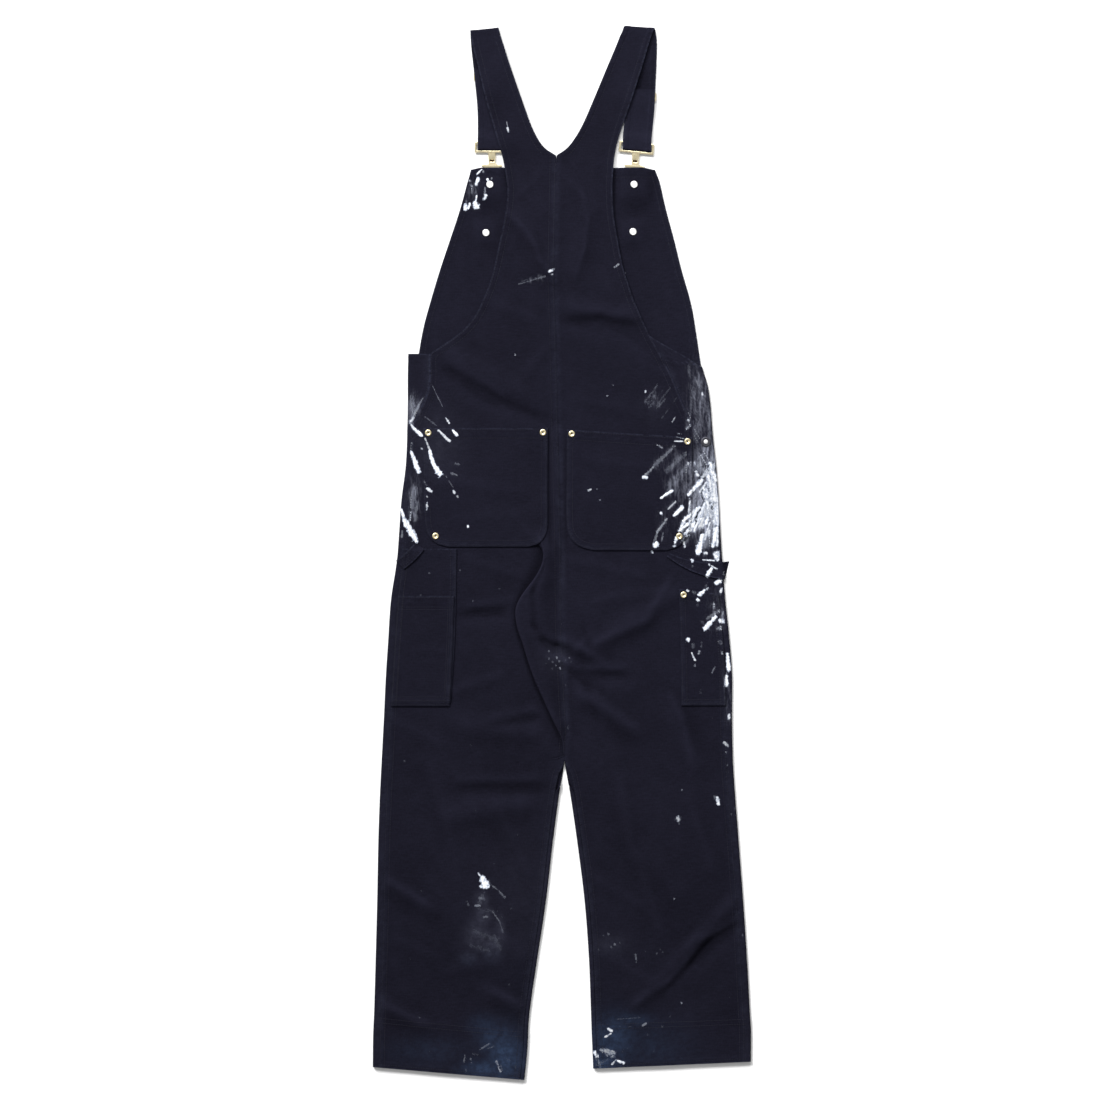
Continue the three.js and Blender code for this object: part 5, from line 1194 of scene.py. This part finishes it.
OVERLAID = (
    (710, 464, 715.4, 480, 8, 1, 0.5), (705, 491, 710, 499, 12, 1, 0.3),
    (715.6, 488, 717, 524, 6.5, 1, 0.6), (704.5, 503, 697.6, 523, 5.2, 0.97, 0.6),
    (711, 504, 706, 523, 4.8, 0.97, 0.6), (697, 508, 690.6, 523, 5, 0.97, 0.6),
    (694.4, 522.6, 687, 534, 7, 0.97, 0.5), (684.8, 517.6, 680.8, 529.6, 4.6, 0.95, 0.5),
    (709.6, 523, 703.6, 542, 4, 0.9, 0.7), (706, 470, 699, 484, 4, 0.85, 0.8),
    (701, 512, 694, 531, 3.4, 0.9, 0.7), (712, 470, 716, 500, 7, 0.95, 0.7),
    (690.2, 501, 688, 512, 2.2, 0.85, 0.5), (706.4, 482, 700, 492, 3.4, 0.9, 0.6),
    (717.4, 554, 717, 558, 5.4, 1, 0.2), (658, 383, 646, 403, 2.6, 0.33, 0.9),
    (657, 386, 645, 402, 3.4, 0.38, 0.9), (663, 390, 649, 408, 3.2, 0.36, 0.9),
    (670, 388, 656, 406, 2.6, 0.34, 0.9), (676, 398, 662, 418, 2.6, 0.33, 0.9),
    (688, 366, 694, 398, 5, 0.34, 0.9), (698, 372, 703, 402, 4.2, 0.34, 0.9),
    (692, 398, 688, 424, 5, 0.34, 0.9), (478, 908, 496, 912, 6, 0.3, 1),
    (474, 930, 498, 940, 9, 0.3, 1), (470, 944, 488, 950, 8, 0.3, 1),
    (484, 892, 480, 902, 7, 0.36, 0.9), (494, 934, 500, 948, 7, 0.3, 1),
    (614, 1056, 596, 1064, 4, 0.4, 0.8), (597, 1058, 601, 1068, 3.4, 0.42, 0.7))
THINNING = {2: 0.3, 20: -0.4, 49: 0.2}
SPECK_RUN, SPECK_STREAK = (0.2, 0.6), 0.1
all_rows = [*STROKES, *((x, y, x + SPECK_RUN[0], y + SPECK_RUN[1], wide, cover, SPECK_STREAK)
                        for x, y, wide, cover in SPECKS), *OVERLAID]
MARKS = [(spot(*row[:2]), spot(*row[2:4]), *row[4:], THINNING.get(k, 0))
         for k, row in enumerate(all_rows)]
print("marks", len(MARKS))


# %% Soft spots of paint dust and of stains, in photo pixels
DUST = table("x y reach_x reach_y amount",
    (702, 404, 18, 62, 0.31), (706, 460, 14, 26, 0.5), (690, 480, 26, 26, 0.42),
    (704, 512, 18, 34, 0.62), (672, 462, 20, 22, 0.24), (668, 520, 16, 26, 0.18),
    (412, 408, 10, 18, 0.36), (414, 498, 9, 26, 0.34), (472, 190, 10, 22, 0.22),
    (716, 612, 14, 30, 0.24), (535, 280, 18, 7, 0.14), (728, 690, 8, 40, 0.24),
    (738, 780, 8, 40, 0.16), (655, 400, 12, 12, 0.16))
STAINS = table("x y reach_x reach_y amount",
    (482, 900, 7, 9, 0.8), (483, 915, 9, 12, 0.7), (478, 935, 12, 14, 0.9), (492, 945, 11, 12, 0.9),
    (500, 930, 6, 16, 0.6), (468, 957, 9, 6, 0.5), (505, 1056, 15, 24, 1.35),
    (485, 1068, 22, 9, 1.0), (492, 1038, 16, 16, 0.7), (483, 1025, 14, 10, 0.45),
    (518, 1062, 14, 16, 0.6), (612, 1040, 22, 24, 0.9), (603, 1062, 18, 14, 1.0),
    (630, 1020, 24, 8, 0.5), (596, 1075, 14, 6, 0.8), (650, 1045, 40, 24, 0.3),
    (556, 660, 13, 12, 0.35), (436, 445, 24, 34, 0.4), (610, 945, 16, 10, 0.35),
    (430, 1050, 40, 14, 0.25), (655, 405, 14, 16, 0.2), (520, 900, 50, 60, 0.12))


# %% The shape of a mark
def in_mark(mark, x, y):
    """How deep inside a mark places lie (1 mid-way, 0 at its edge) and how far along it."""
    start, end, wide, _, _, fade = mark
    along, aside, beyond, length = from_line(x, y, start, end)
    t = np.clip(along / length, 0, 1)
    taper = 1 - 0.3 * (1 - ease(t / 0.7)) if length > 8 else 1.3
    half = wide * PIXEL / 2 * (taper - 0.35 * fade * t)
    return 1 - np.hypot(aside, beyond) / half, t


def mark_patch(reader, mark, order):
    """One mark as a grid laid on the cloth: points, faces, map and how it covers."""
    start, end, wide, cover, streak, fade = mark
    length = math.dist(start, end)
    dx, dy = (1, 0) if length < 0.5 else np.subtract(end, start) / length
    half = wide * PIXEL / 2
    margin = half * 1.5 + 0.6
    step = float(np.clip(half / 3.5, 0.55, 1.7))
    s = np.arange(-margin, length + margin + step, step)[:, None]
    q = np.linspace(-margin, margin, max(5, int(2 * margin / step)))[None, :]
    x, y = start[0] + dx * s + dy * q, start[1] + dy * s - dx * q
    z = drop(reader, x, y)
    inside, t = in_mark(mark, x, y)
    kept = (z > 0.4) & (inside > -0.62)
    z = z + 0.1 + 0.025 * (order % 6)
    index = np.full(x.shape, -1)
    index[kept] = np.arange(kept.sum())
    corners = quads(index)
    whole = (corners.min(1) >= 0) & (np.ptp(quads(z), axis=1) < 2.6)
    uv = np.stack([s + 37.0 * order + 0 * q, q + 11.0 * order + 0 * s], -1) / 1000
    return (np.stack([x, y, z], -1)[kept], corners[whole][:, TURNED], uv[kept], inside[kept],
            (cover - fade * t * 0.55)[kept], np.full(kept.sum(), streak))


# %% Laying the paint
def paint_piece(name):
    reader = height_reader()
    patches = [mark_patch(reader, mark, order) for order, mark in enumerate(MARKS)]
    starts = np.cumsum([0] + [len(patch[0]) for patch in patches])
    faces = np.concatenate([patch[1] + start for patch, start in zip(patches, starts)])
    points, _, uv, *kept = (np.concatenate(parts) for parts in zip(*patches))
    mesh = mesh_of(name, in_metres(points), faces, "stroke", uv)
    for key, values in zip(("inside", "cover", "streak"), kept):
        set_values(mesh, key, values)
    mesh.materials.append(paint)
    mesh.shade_smooth()
    piece = linked(name, mesh)
    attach(piece, "root")
    print(name, "marks", len(patches), "triangles", 2 * len(faces))


paint_piece("paint_marks")


# %% Dust of paint round the marks
def spread_at(rows, x, y):
    """The strongest of some soft spots at each place."""
    amount = np.zeros(x.shape)
    for px, py, reach_x, reach_y, most in zip(*rows.values()):
        hill = bulge(x, y, *spot(px, py), reach_x * PIXEL, reach_y * PIXEL)
        amount = np.maximum(amount, most * hill)
    return amount


def mark_cover(x, y):
    amount = np.zeros(x.shape)
    for mark in MARKS:
        inside, _ = in_mark(mark, x, y)
        amount = np.maximum(amount, mark[3] * ease((inside + 0.1) / 0.5))
    return amount


def add_dust(mesh, with_marks=0.35):
    """Keeps on each vertex how dusty with paint and how stained it is."""
    places = np.zeros(len(mesh.vertices) * 3)
    mesh.vertices.foreach_get("co", places)
    x, y, _ = (places.reshape(-1, 3) * 1000 - CENTRE_SHIFT).T
    amount = spread_at(DUST, x, y) + with_marks * mark_cover(x, y)
    if "face_up" in mesh.attributes:
        facing = np.zeros(len(x))
        mesh.attributes["face_up"].data.foreach_get("value", facing)
        amount = amount * ease(facing * 2)
    set_values(mesh, "dust", amount)
    set_values(mesh, "stain", spread_at(STAINS, x, y))


for name, piece in cloths.items():
    add_dust(piece.data)
    piece.data.materials.append(front_canvas if name.startswith("front") else canvas)
print("dusted", len(cloths))


# %% [markdown]
# ## Stitches
# The garment is sewn with doubled rows of thick thread. The rows are drawn as lines on the
# cloth, and a Geometry Nodes tree sets one small grain of thread at every pitch along them and
# turns it to the line. Changing the pitch or the thread is then one number.

# %% Building a tree of Geometry Nodes
def new_tree(name, inputs, nodes, wires):
    """A tree from its named inputs, its nodes with their values, and lines of joined sockets."""
    tree = bpy.data.node_groups.new(name, "GeometryNodeTree")
    for key, kind, value in (("Geometry", "Geometry", None), *inputs):
        socket = tree.interface.new_socket(key, in_out="INPUT", socket_type="NodeSocket" + kind)
        if value is not None:
            socket.default_value = value
    tree.interface.new_socket("Geometry", in_out="OUTPUT", socket_type="NodeSocketGeometry")
    made = {}
    for key, kind, settings, values in nodes:
        made[key] = tree.nodes.new(kind)
        for setting, value in settings.items():
            setattr(made[key], setting, value)
        for socket, value in values.items():
            made[key].inputs[socket].default_value = value
    for wire in wires.split(","):
        (source, out), (target, into) = (end.split(".") for end in wire.split())
        tree.links.new(made[source].outputs[out], made[target].inputs[into])
    return tree


def with_tree(name, carrier_mesh, tree, **inputs):
    """Runs a tree on a carrier mesh and keeps the result as a plain piece."""
    carrier = linked(name, carrier_mesh)
    modifier = carrier.modifiers.new("tree", "NODES")
    modifier.node_group = tree
    for item in tree.interface.items_tree:
        if item.in_out == "INPUT" and item.name in inputs:
            modifier[item.identifier] = inputs[item.name]
    bpy.context.view_layer.update()
    evaluated = carrier.evaluated_get(bpy.context.evaluated_depsgraph_get())
    mesh = bpy.data.meshes.new_from_object(evaluated)
    bpy.data.objects.remove(carrier)
    bpy.data.meshes.remove(carrier_mesh)
    mesh.name = name
    return linked(name, mesh)


# %% The tree that sews
SEWING_INPUTS = (("Pitch", "Float", 0.0035), ("Stitch", "Float", 0.0027),
                 ("Thread", "Float", 0.00062), ("Material", "Material", None))
LAST_NODES = (("solid", "GeometryNodeRealizeInstances", {}, {}),
              ("dress", "GeometryNodeSetMaterial", {}, {}), ("leave", "NodeGroupOutput", {}, {}))
SEWING_NODES = (
    ("entry", "NodeGroupInput", {}, {}),
    ("curve", "GeometryNodeMeshToCurve", {}, {}),
    ("resample", "GeometryNodeResampleCurve", {"mode": "LENGTH"}, {}),
    ("grain", "GeometryNodeMeshUVSphere", {}, {"Segments": 5, "Rings": 4, "Radius": 0.5}),
    ("flat", "ShaderNodeMath", {"operation": "MULTIPLY"}, {1: 0.72}),
    ("size", "ShaderNodeCombineXYZ", {}, {}),
    ("tangent", "GeometryNodeInputTangent", {}, {}),
    ("turn", "FunctionNodeAlignRotationToVector", {"axis": "X"}, {}),
    ("place", "GeometryNodeInstanceOnPoints", {}, {}),
    ("smooth", "GeometryNodeSetShadeSmooth", {}, {}), *LAST_NODES)
SEWING_WIRES = """entry.Geometry curve.Mesh, curve.Curve resample.Curve,
    entry.Pitch resample.Length, resample.Curve place.Points, grain.Mesh place.Instance,
    entry.Thread flat.Value, entry.Stitch size.X, entry.Thread size.Y, flat.Value size.Z,
    size.Vector place.Scale, tangent.Tangent turn.Vector, turn.Rotation place.Rotation,
    place.Instances solid.Geometry, solid.Geometry smooth.Geometry,
    smooth.Geometry dress.Geometry, entry.Material dress.Material, dress.Geometry leave.Geometry"""
sewing = new_tree("sewing", SEWING_INPUTS, SEWING_NODES, SEWING_WIRES)


# %% Lines of the sewing
def beside(line, distance):
    """A line moved sideways, to the left of its run when the distance is positive."""
    line = spaced(line, 3.0)
    run = np.gradient(line, axis=0)
    run /= np.maximum(np.linalg.norm(run, axis=1, keepdims=True), 1e-9)
    return line + np.stack([-run[:, 1], run[:, 0]], 1) * distance


def edge_rows(seam, side, high, low, distances):
    """Rows of stitches along a seam, each at a distance into the panel."""
    line = edge_line(side, seam, high, low)
    sign = side if seam is outer_seam else -side
    return [beside(line, -sign * distance) for distance in distances]


def bare(lines):
    """The stretches of some lines that the high back doesn't cover."""
    kept = []
    for line in lines:
        line = spaced(line, 2.5)
        x, y = line.T
        left, right = both_edges(BACK_EDGES, y)
        neck_left, neck_right = both_edges(NECK_EDGES, y)
        neck = (y > NECK_Y) & (x > neck_left) & (x < neck_right)
        hidden = (x > left - 1.5) & (x < right + 1.5) & ~neck
        cuts = np.flatnonzero(np.diff(hidden.astype(int))) + 1
        for part, skip in zip(np.split(line, cuts), np.split(hidden, cuts)):
            if len(part) > 3 and not skip[0]:
                kept.append(part)
    return kept


def patch_lines(rows, _, top_slant, rim_rows, top_rows):
    """Stitches of a patch: rows inside its rim and rows under its top edge."""
    high, low = max(rows["y"]), min(rows["y"])
    y = np.linspace(high, low, 60)
    left, right = both_edges(rows, y)
    left = np.stack([left, y], 1)
    right = np.stack([right, y - top_slant * ease((y - low) / 100)], 1)
    rim = np.concatenate([left, right[::-1]])
    return [beside(rim, depth) for depth in rim_rows] + [
        np.linspace(left[0] + (2, -depth), right[0] + (-2, -depth), 30) for depth in top_rows]


def hem_lines(side):
    x = np.linspace(-256, -58, 40) if side < 0 else np.linspace(50, 256, 40)
    foot = HEM_Y + slant(side, x, np.full_like(x, HEM_Y))
    rows = [hem_fold(side, x) - 2.0, hem_fold(side, x) - 8.5, foot + 4.5]
    return [np.stack([x, y], 1) for y in rows]


# %% All rows of stitches
EDGE_ROWS, LEG_ROWS = (2.0, 8.4), (1.8, 7.8)


def panel_lines():
    centre = edge_line(-1, inner_seam, NECK_Y - 2, CROTCH_Y + 12)
    lines = [beside(centre, distance) for distance in (-1.8, -8.6)]
    for side, low in OPEN_SIDE_END.items():
        lines += edge_rows(outer_seam, side, 716, low, EDGE_ROWS)
        lines += edge_rows(inner_seam, side, 716, NECK_Y + 8, EDGE_ROWS)
        lines += edge_rows(outer_seam, side, low - 4, HEM_Y + 2, LEG_ROWS)
        lines += edge_rows(inner_seam, side, CROTCH_Y - 16, HEM_Y + 2, LEG_ROWS)
        lines += hem_lines(side)
        lines.append(beside(edge_line(side, outer_seam, 268, low + 4), side * 2.4))
    return lines


def band_lines():
    bands = ((LOOP_ENDS, 16), (((151, -2.5), (230.6, -25)), 18))
    return [beside(spaced(np.array(ends), 3), side * (wide / 2 - 2.6))
            for ends, wide in bands for side in (1, -1)]


def front_lines():
    """The bib's rim and the straps that lie on it."""
    y = np.linspace(532, 282, 90)
    lines = [beside(np.stack([x, y], 1), -side * distance)
             for side, x in zip(SIDES, both_edges(BIB_EDGES, y)) for distance in (2.2, 8.0)]
    lines.append(np.stack([np.linspace(-124, 126, 80), np.full(80, 525.5)], 1))
    y = np.linspace(582, 700, 40)
    for rows in STRAP_LINES.values():
        lines += [np.stack([across(rows, "x", y) + aside, y], 1) for aside in (-17.6, 17.6)]
    return lines


# %% Sewing
def sewn(name, lines):
    """Lays the lines on the cloth, leaves out what hangs free, and sews along them."""
    reader = height_reader()
    points, edges = [], []
    for line in lines:
        line = spaced(line, 2.2)
        z = drop(reader, line[:, 0], line[:, 1])
        kept = np.flatnonzero(z > 0.3)
        first = len(points)
        points += [(*line[k], z[k] + 0.12) for k in kept]
        edges += [(first + i, first + i + 1) for i, (k, n) in enumerate(zip(kept, kept[1:]))
                  if n == k + 1 and abs(z[n] - z[k]) < 1.6]
    mesh = bpy.data.meshes.new(name)
    mesh.from_pydata(in_metres(points).tolist(), edges, [])
    piece = with_tree(name, mesh, sewing, Material=thread)
    add_dust(piece.data, 1.0)
    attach(piece, "root")
    print(name, "triangles", sum(len(p.vertices) - 2 for p in piece.data.polygons))


patch_rows = [line for patch in PATCHES.values() for line in patch_lines(*patch)]
sewn("stitches", panel_lines() + patch_rows + band_lines() + bare(front_lines()))


# %% [markdown]
# ## Brass and nickel
# The hooks and sliders are stamped from sheet and tumbled, so their edges are round. A flat
# curve with holes, given a depth and a bevel, makes such a stamping. Rivets, buttons and caps
# are turned: a profile is spun about its own axis.

# %% Stamped metal
def stamped(loops, thick, edge):
    """A flat shape with holes and rounded edges, as an open bmesh."""
    curve = bpy.data.curves.new("stamping", "CURVE")
    curve.dimensions, curve.fill_mode = "2D", "BOTH"
    curve.extrude, curve.bevel_depth = (thick / 2 - edge) / 1000, edge / 1000
    curve.bevel_resolution, curve.offset = 3, -edge / 1000
    for loop in loops:
        spline = curve.splines.new("POLY")
        spline.points.add(len(loop) - 1)
        for point, (x, y) in zip(spline.points, loop):
            point.co = (x / 1000, y / 1000, 0, 1)
        spline.use_cyclic_u = True
    holder = linked("stamping", curve)
    evaluated = holder.evaluated_get(bpy.context.evaluated_depsgraph_get())
    shape = bmesh.new()
    shape.from_mesh(bpy.data.meshes.new_from_object(evaluated))
    bpy.data.objects.remove(holder)
    bmesh.ops.remove_doubles(shape, verts=shape.verts, dist=1e-6)
    return shape


def arc(cx, cy, radius, start, end, steps=10):
    angles = np.radians(np.linspace(start, end, steps))
    return [(cx + radius * math.cos(a), cy + radius * math.sin(a)) for a in angles]


def rounded(left, low, right, high, radius):
    """A rectangle with round corners."""
    x0, x1, y0, y1 = left + radius, right - radius, low + radius, high - radius
    corners = ((x1, y0, -90), (x1, y1, 0), (x0, y1, 90), (x0, y0, 180))
    return [point for x, y, turn in corners for point in arc(x, y, radius, turn, turn + 90, 6)]


def mesh_from(shape, name, sharp_angle):
    """A finished mesh of a metal piece, with its faces turned outwards."""
    bmesh.ops.recalc_face_normals(shape, faces=shape.faces)
    mesh = bpy.data.meshes.new(name)
    shape.to_mesh(mesh)
    shape.free()
    mesh.shade_smooth()
    mesh.set_sharp_from_angle(angle=math.radians(sharp_angle))
    return mesh


def placed(name, shape, centre_z, place, stands_for):
    """Turns a stamping to its strap and lays it in its place."""
    x, y, turn = place
    mesh = mesh_from(shape, name, 42)
    turned = Matrix.Rotation(math.radians(turn), 4, "Z")
    mesh.transform(Matrix.Translation(in_metres((x, y, centre_z))) @ turned)
    mesh.materials.append(brass)
    piece = linked(name, mesh)
    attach(piece, "root")
    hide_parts(stands_for)
    print(name, "faces", len(mesh.polygons))


# %% Hook buckles
HOOK_OUTLINE = (
    [(-24.5, -1.6)] + arc(-6.6, -3.2, 1.6, 90, 0, 4) + [(-5, -17)]
    + arc(-12.9, -20.2, 1.7, 90, 270, 8) + [(-11, -22.4), (-10.4, -40)]
    + arc(0, -46.6, 11.2, 146, 394, 22) + [(10.4, -40), (11, -22.4)]
    + arc(12.9, -20.2, 1.7, -90, 90, 8) + [(5, -17)] + arc(6.6, -3.2, 1.6, 180, 90, 4)
    + [(24.5, -1.6)] + arc(23.2, 12.3, 1.3, 0, 90, 5) + arc(-23.2, 12.3, 1.3, 90, 180, 5))
HOOK_EYE = ([(-7.4, -24.6), (7.4, -24.6), (8.2, -44)] + arc(0, -46.6, 8.4, 18, -198, 22)
            + [(-8.2, -44)])
STRAP_SLOT = rounded(-21.3, 1.3, 21.3, 10.8, 1.2)
WINDOW = rounded(-2.9, -14.4, 2.9, -11.6, 0.9)
WINDOW_SHADE_PLATE = rounded(-3.2, -14.7, 3.2, -11.3, 1.1)


def hook_buckle(key):
    shape = stamped([HOOK_OUTLINE, STRAP_SLOT, WINDOW, HOOK_EYE], BUCKLE_THICK, 0.72)
    # A small plate under the window is marked hollow, so it takes the dark pit colour: painted
    # shade in the window instead of the pale floor.
    hollow = shape.verts.layers.float.new("hollow")
    low, high = ([shape.verts.new((x / 1000, y / 1000, z / 1000)) for x, y in WINDOW_SHADE_PLATE]
                 for z in (-0.7, -0.35))
    for k, vert in enumerate(high):
        shape.faces.new((low[k - 1], low[k], vert, high[k - 1]))
    shape.faces.new(low[::-1])
    shape.faces.new(high)
    for vert in low + high:
        vert[hollow] = 1
    placed(f"hook_buckle_{key}", shape, 2.4, BUCKLES[key], f"buckle_{key}")


def strap_slider(key):
    loops = [rounded(-24.5, -6.2, 24.5, 6.2, 2.6), rounded(-21.4, -4.3, 21.4, -1.1, 0.9),
             rounded(-21.4, 1.1, 21.4, 4.3, 0.9)]
    shape = stamped(loops, SLIDER_THICK, 0.5)
    placed(f"strap_slider_{key}", shape, 2.2, SLIDERS[key], f"slider_{key}")


for key in ("left", "right"):
    hook_buckle(key)
    strap_slider(key)


# %% [markdown]
# ### Rivets, caps and buttons
# A turned head is made once. A second Geometry Nodes tree sets it on every point of a carrier
# mesh, so all rivets stay the same size and only their places are listed.

# %% The tree that sets heads
SETTING_INPUTS = (("Head", "Object", None), ("Size", "Float", 1.0), ("Material", "Material", None))
SETTING_NODES = (("entry", "NodeGroupInput", {}, {}), ("head", "GeometryNodeObjectInfo", {}, {}),
                 ("place", "GeometryNodeInstanceOnPoints", {}, {}), *LAST_NODES)
SETTING_WIRES = """entry.Geometry place.Points, entry.Head head.Object,
    head.Geometry place.Instance, entry.Size place.Scale, place.Instances solid.Geometry,
    solid.Geometry dress.Geometry, entry.Material dress.Material, dress.Geometry leave.Geometry"""
setting = new_tree("setting", SETTING_INPUTS, SETTING_NODES, SETTING_WIRES)
SEGMENTS = 28


def turned_head(profile):
    """Rings of points about the vertical axis, closed at both ends."""
    shape, rings = bmesh.new(), []
    for radius, height in profile:
        angles = [2 * math.pi * k / SEGMENTS for k in range(SEGMENTS if radius else 1)]
        rings.append([shape.verts.new((radius * math.cos(a) / 1000, radius * math.sin(a) / 1000,
                                       height / 1000)) for a in angles])
    for low, high in zip(rings, rings[1:]):
        for k in range(SEGMENTS):
            n = (k + 1) % SEGMENTS
            corners = (low[k % len(low)], low[n % len(low)], high[n % len(high)],
                       high[k % len(high)])
            shape.faces.new(list(dict.fromkeys(corners)))
    return shape


def set_heads(name, profile, places, nodes, material, hollow=0, size=1.0):
    """Sets one head on every place. Inside the hollow radius the finish is darker."""
    head_mesh = mesh_from(turned_head(profile), name + "_head", 50)
    set_values(head_mesh, "hollow",
               [float(v.co.xy.length < hollow / 1000) for v in head_mesh.vertices])
    head = linked(name + "_head", head_mesh)
    carrier_mesh = bpy.data.meshes.new(name)
    carrier_mesh.from_pydata(in_metres(places).tolist(), [], [])
    piece = with_tree(name, carrier_mesh, setting, Head=head, Size=size, Material=material)
    bpy.data.objects.remove(head)
    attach(piece, "root")
    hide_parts(*nodes)
    print(name, "heads", len(places))


# %% Profiles, as radius and height
RIVET = [(0, -0.4), (4.7, -0.4), (4.9, 0.1), (4.7, 0.55), (4.2, 0.95), (3.5, 1.15), (2.9, 1.0),
         (2.3, 0.5), (1.9, 0.3), (1.5, 0.35), (1.25, 0.2), (1.1, -0.25), (0, -0.3)]
CAP = [(0, -0.3), (5.1, -0.3), (5.3, 0.15), (5.1, 0.6), (4.5, 0.95), (3.9, 0.92), (3.6, 0.78),
       (2.4, 0.95), (0, 1.05)]
BUTTON = [(0, 0), (7.4, 0), (8.5, 0.35), (8.3, 0.9), (7.4, 1.2), (6.6, 1.1), (6.1, 0.85),
          (4.6, 0.9), (4.2, 1.15), (0, 1.2)]
SIDE_BUTTON = [(0, -0.3), (6.6, -0.3), (7.0, 0.2), (6.7, 0.7), (5.9, 0.95), (5.0, 0.9),
               (4.3, 0.75), (3.4, 0.85), (3.1, 1.4), (2.2, 1.85), (1.1, 2.0), (0, 2.05)]


# %% Setting them
cloth_top = height_reader()


def on_top(rows):
    """The height of the cloth under each head, so that it sits on and not in the cloth."""
    ring = np.radians(np.arange(0, 360, 60))
    return [(x, y, float(drop(cloth_top, x + 3 * np.cos(ring), y + 3 * np.sin(ring)).mean()) + 0.15)
            for x, y in zip(rows["x"], rows["y"])]


def nodes_of(rows, start):
    return [start + name for name in rows["name"]]


set_heads("rivets", RIVET, on_top(RIVETS), nodes_of(RIVETS, "rivet_"), rivet_brass, 1.35, 0.93)
set_heads("bib_caps", CAP, on_top(BIB_BUTTONS), nodes_of(BIB_BUTTONS, "button_cap_"), nickel,
          size=0.94)
set_heads("side_button", SIDE_BUTTON, on_top({"x": [201.2], "y": [155.4]}),
          ["side_button_right"], blackened)
set_heads("bib_buttons", BUTTON, [(x, y, 0) for x, y in zip(BIB_BUTTONS["x"], BIB_BUTTONS["y"])],
          nodes_of(BIB_BUTTONS, "bib_button_"), brass)


# %% [markdown]
# ## What each piece is
# Every piece rides on the one body of this part, and the solids it stands in for are hidden.
# The table also gives the size each cloth was cut to, its area and the pieces it lies on.

# %% Attaching the cloth and hiding its solids
LEFT, RIGHT = "back_cloth_left", "back_cloth_right"
SHEETS = (
    (LEFT, ("back_left", "strap_left"), (0.25, 1.92), 0.33, ("front_cloth_left", "bib_cloth")),
    (RIGHT, ("back_right", "strap_right"), (0.25, 1.92), 0.32, ("front_cloth_right", "bib_cloth")),
    ("front_cloth_left", ("front_left",), (0.3, 1.0), 0.25, ("floor",)),
    ("front_cloth_right", ("front_right",), (0.33, 1.0), 0.25, ("floor",)),
    ("bib_cloth", ("bib",), (0.41, 0.27), 0.09, ("floor",)),
    ("pocket_cloth_left", ("back_pocket_left",), (0.175, 0.166), 0.0285, (LEFT,)),
    ("pocket_cloth_right", ("back_pocket_right",), (0.176, 0.169), 0.0285, (RIGHT,)),
    ("tool_cloth_left_tall", ("tool_pocket_left_tall",), (0.085, 0.216), 0.017, (LEFT,)),
    ("tool_cloth_left_short", ("tool_pocket_left_short",), (0.085, 0.155), 0.0125,
     ("tool_cloth_left_tall",)),
    ("tool_cloth_right", ("tool_pocket_right",), (0.063, 0.164), 0.0098, (RIGHT,)),
    ("hammer_loop_cloth", ("hammer_loop_left",), (0.016, 0.04), None, ("tool_cloth_left_tall",)),
    ("tool_band_cloth", ("tool_band_right",), (0.02, 0.084), None, (RIGHT,)),
)
for name, nodes, flat, area, under in SHEETS:
    piece = cloths[name]
    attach(piece, "root")
    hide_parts(*nodes)
print("sheets", len(SHEETS))


# %% [markdown]
# ## Floor
# A plain pale floor, lit almost to white, with just enough tone to hold the soft shadow.

# %% Floor
def floor_finish():
    f = Finish("pale_floor")
    colour = f.mixed(f.noise(f.place(), 3, 2), (0.90, 0.90, 0.90), (0.93, 0.93, 0.93))
    return f.done(Base_Color=colour, Roughness=0.9, Specular_IOR_Level=0.1)


FLOOR_HALF = 6
corners = [(-1, -1), (1, -1), (1, 1), (-1, 1)]
floor_mesh = bpy.data.meshes.new("floor")
floor_mesh.from_pydata([(x * FLOOR_HALF, y * FLOOR_HALF, 0) for x, y in corners], [],
                       [(0, 1, 2, 3)])
floor_mesh.materials.append(floor_finish())
floor = linked("floor", floor_mesh)
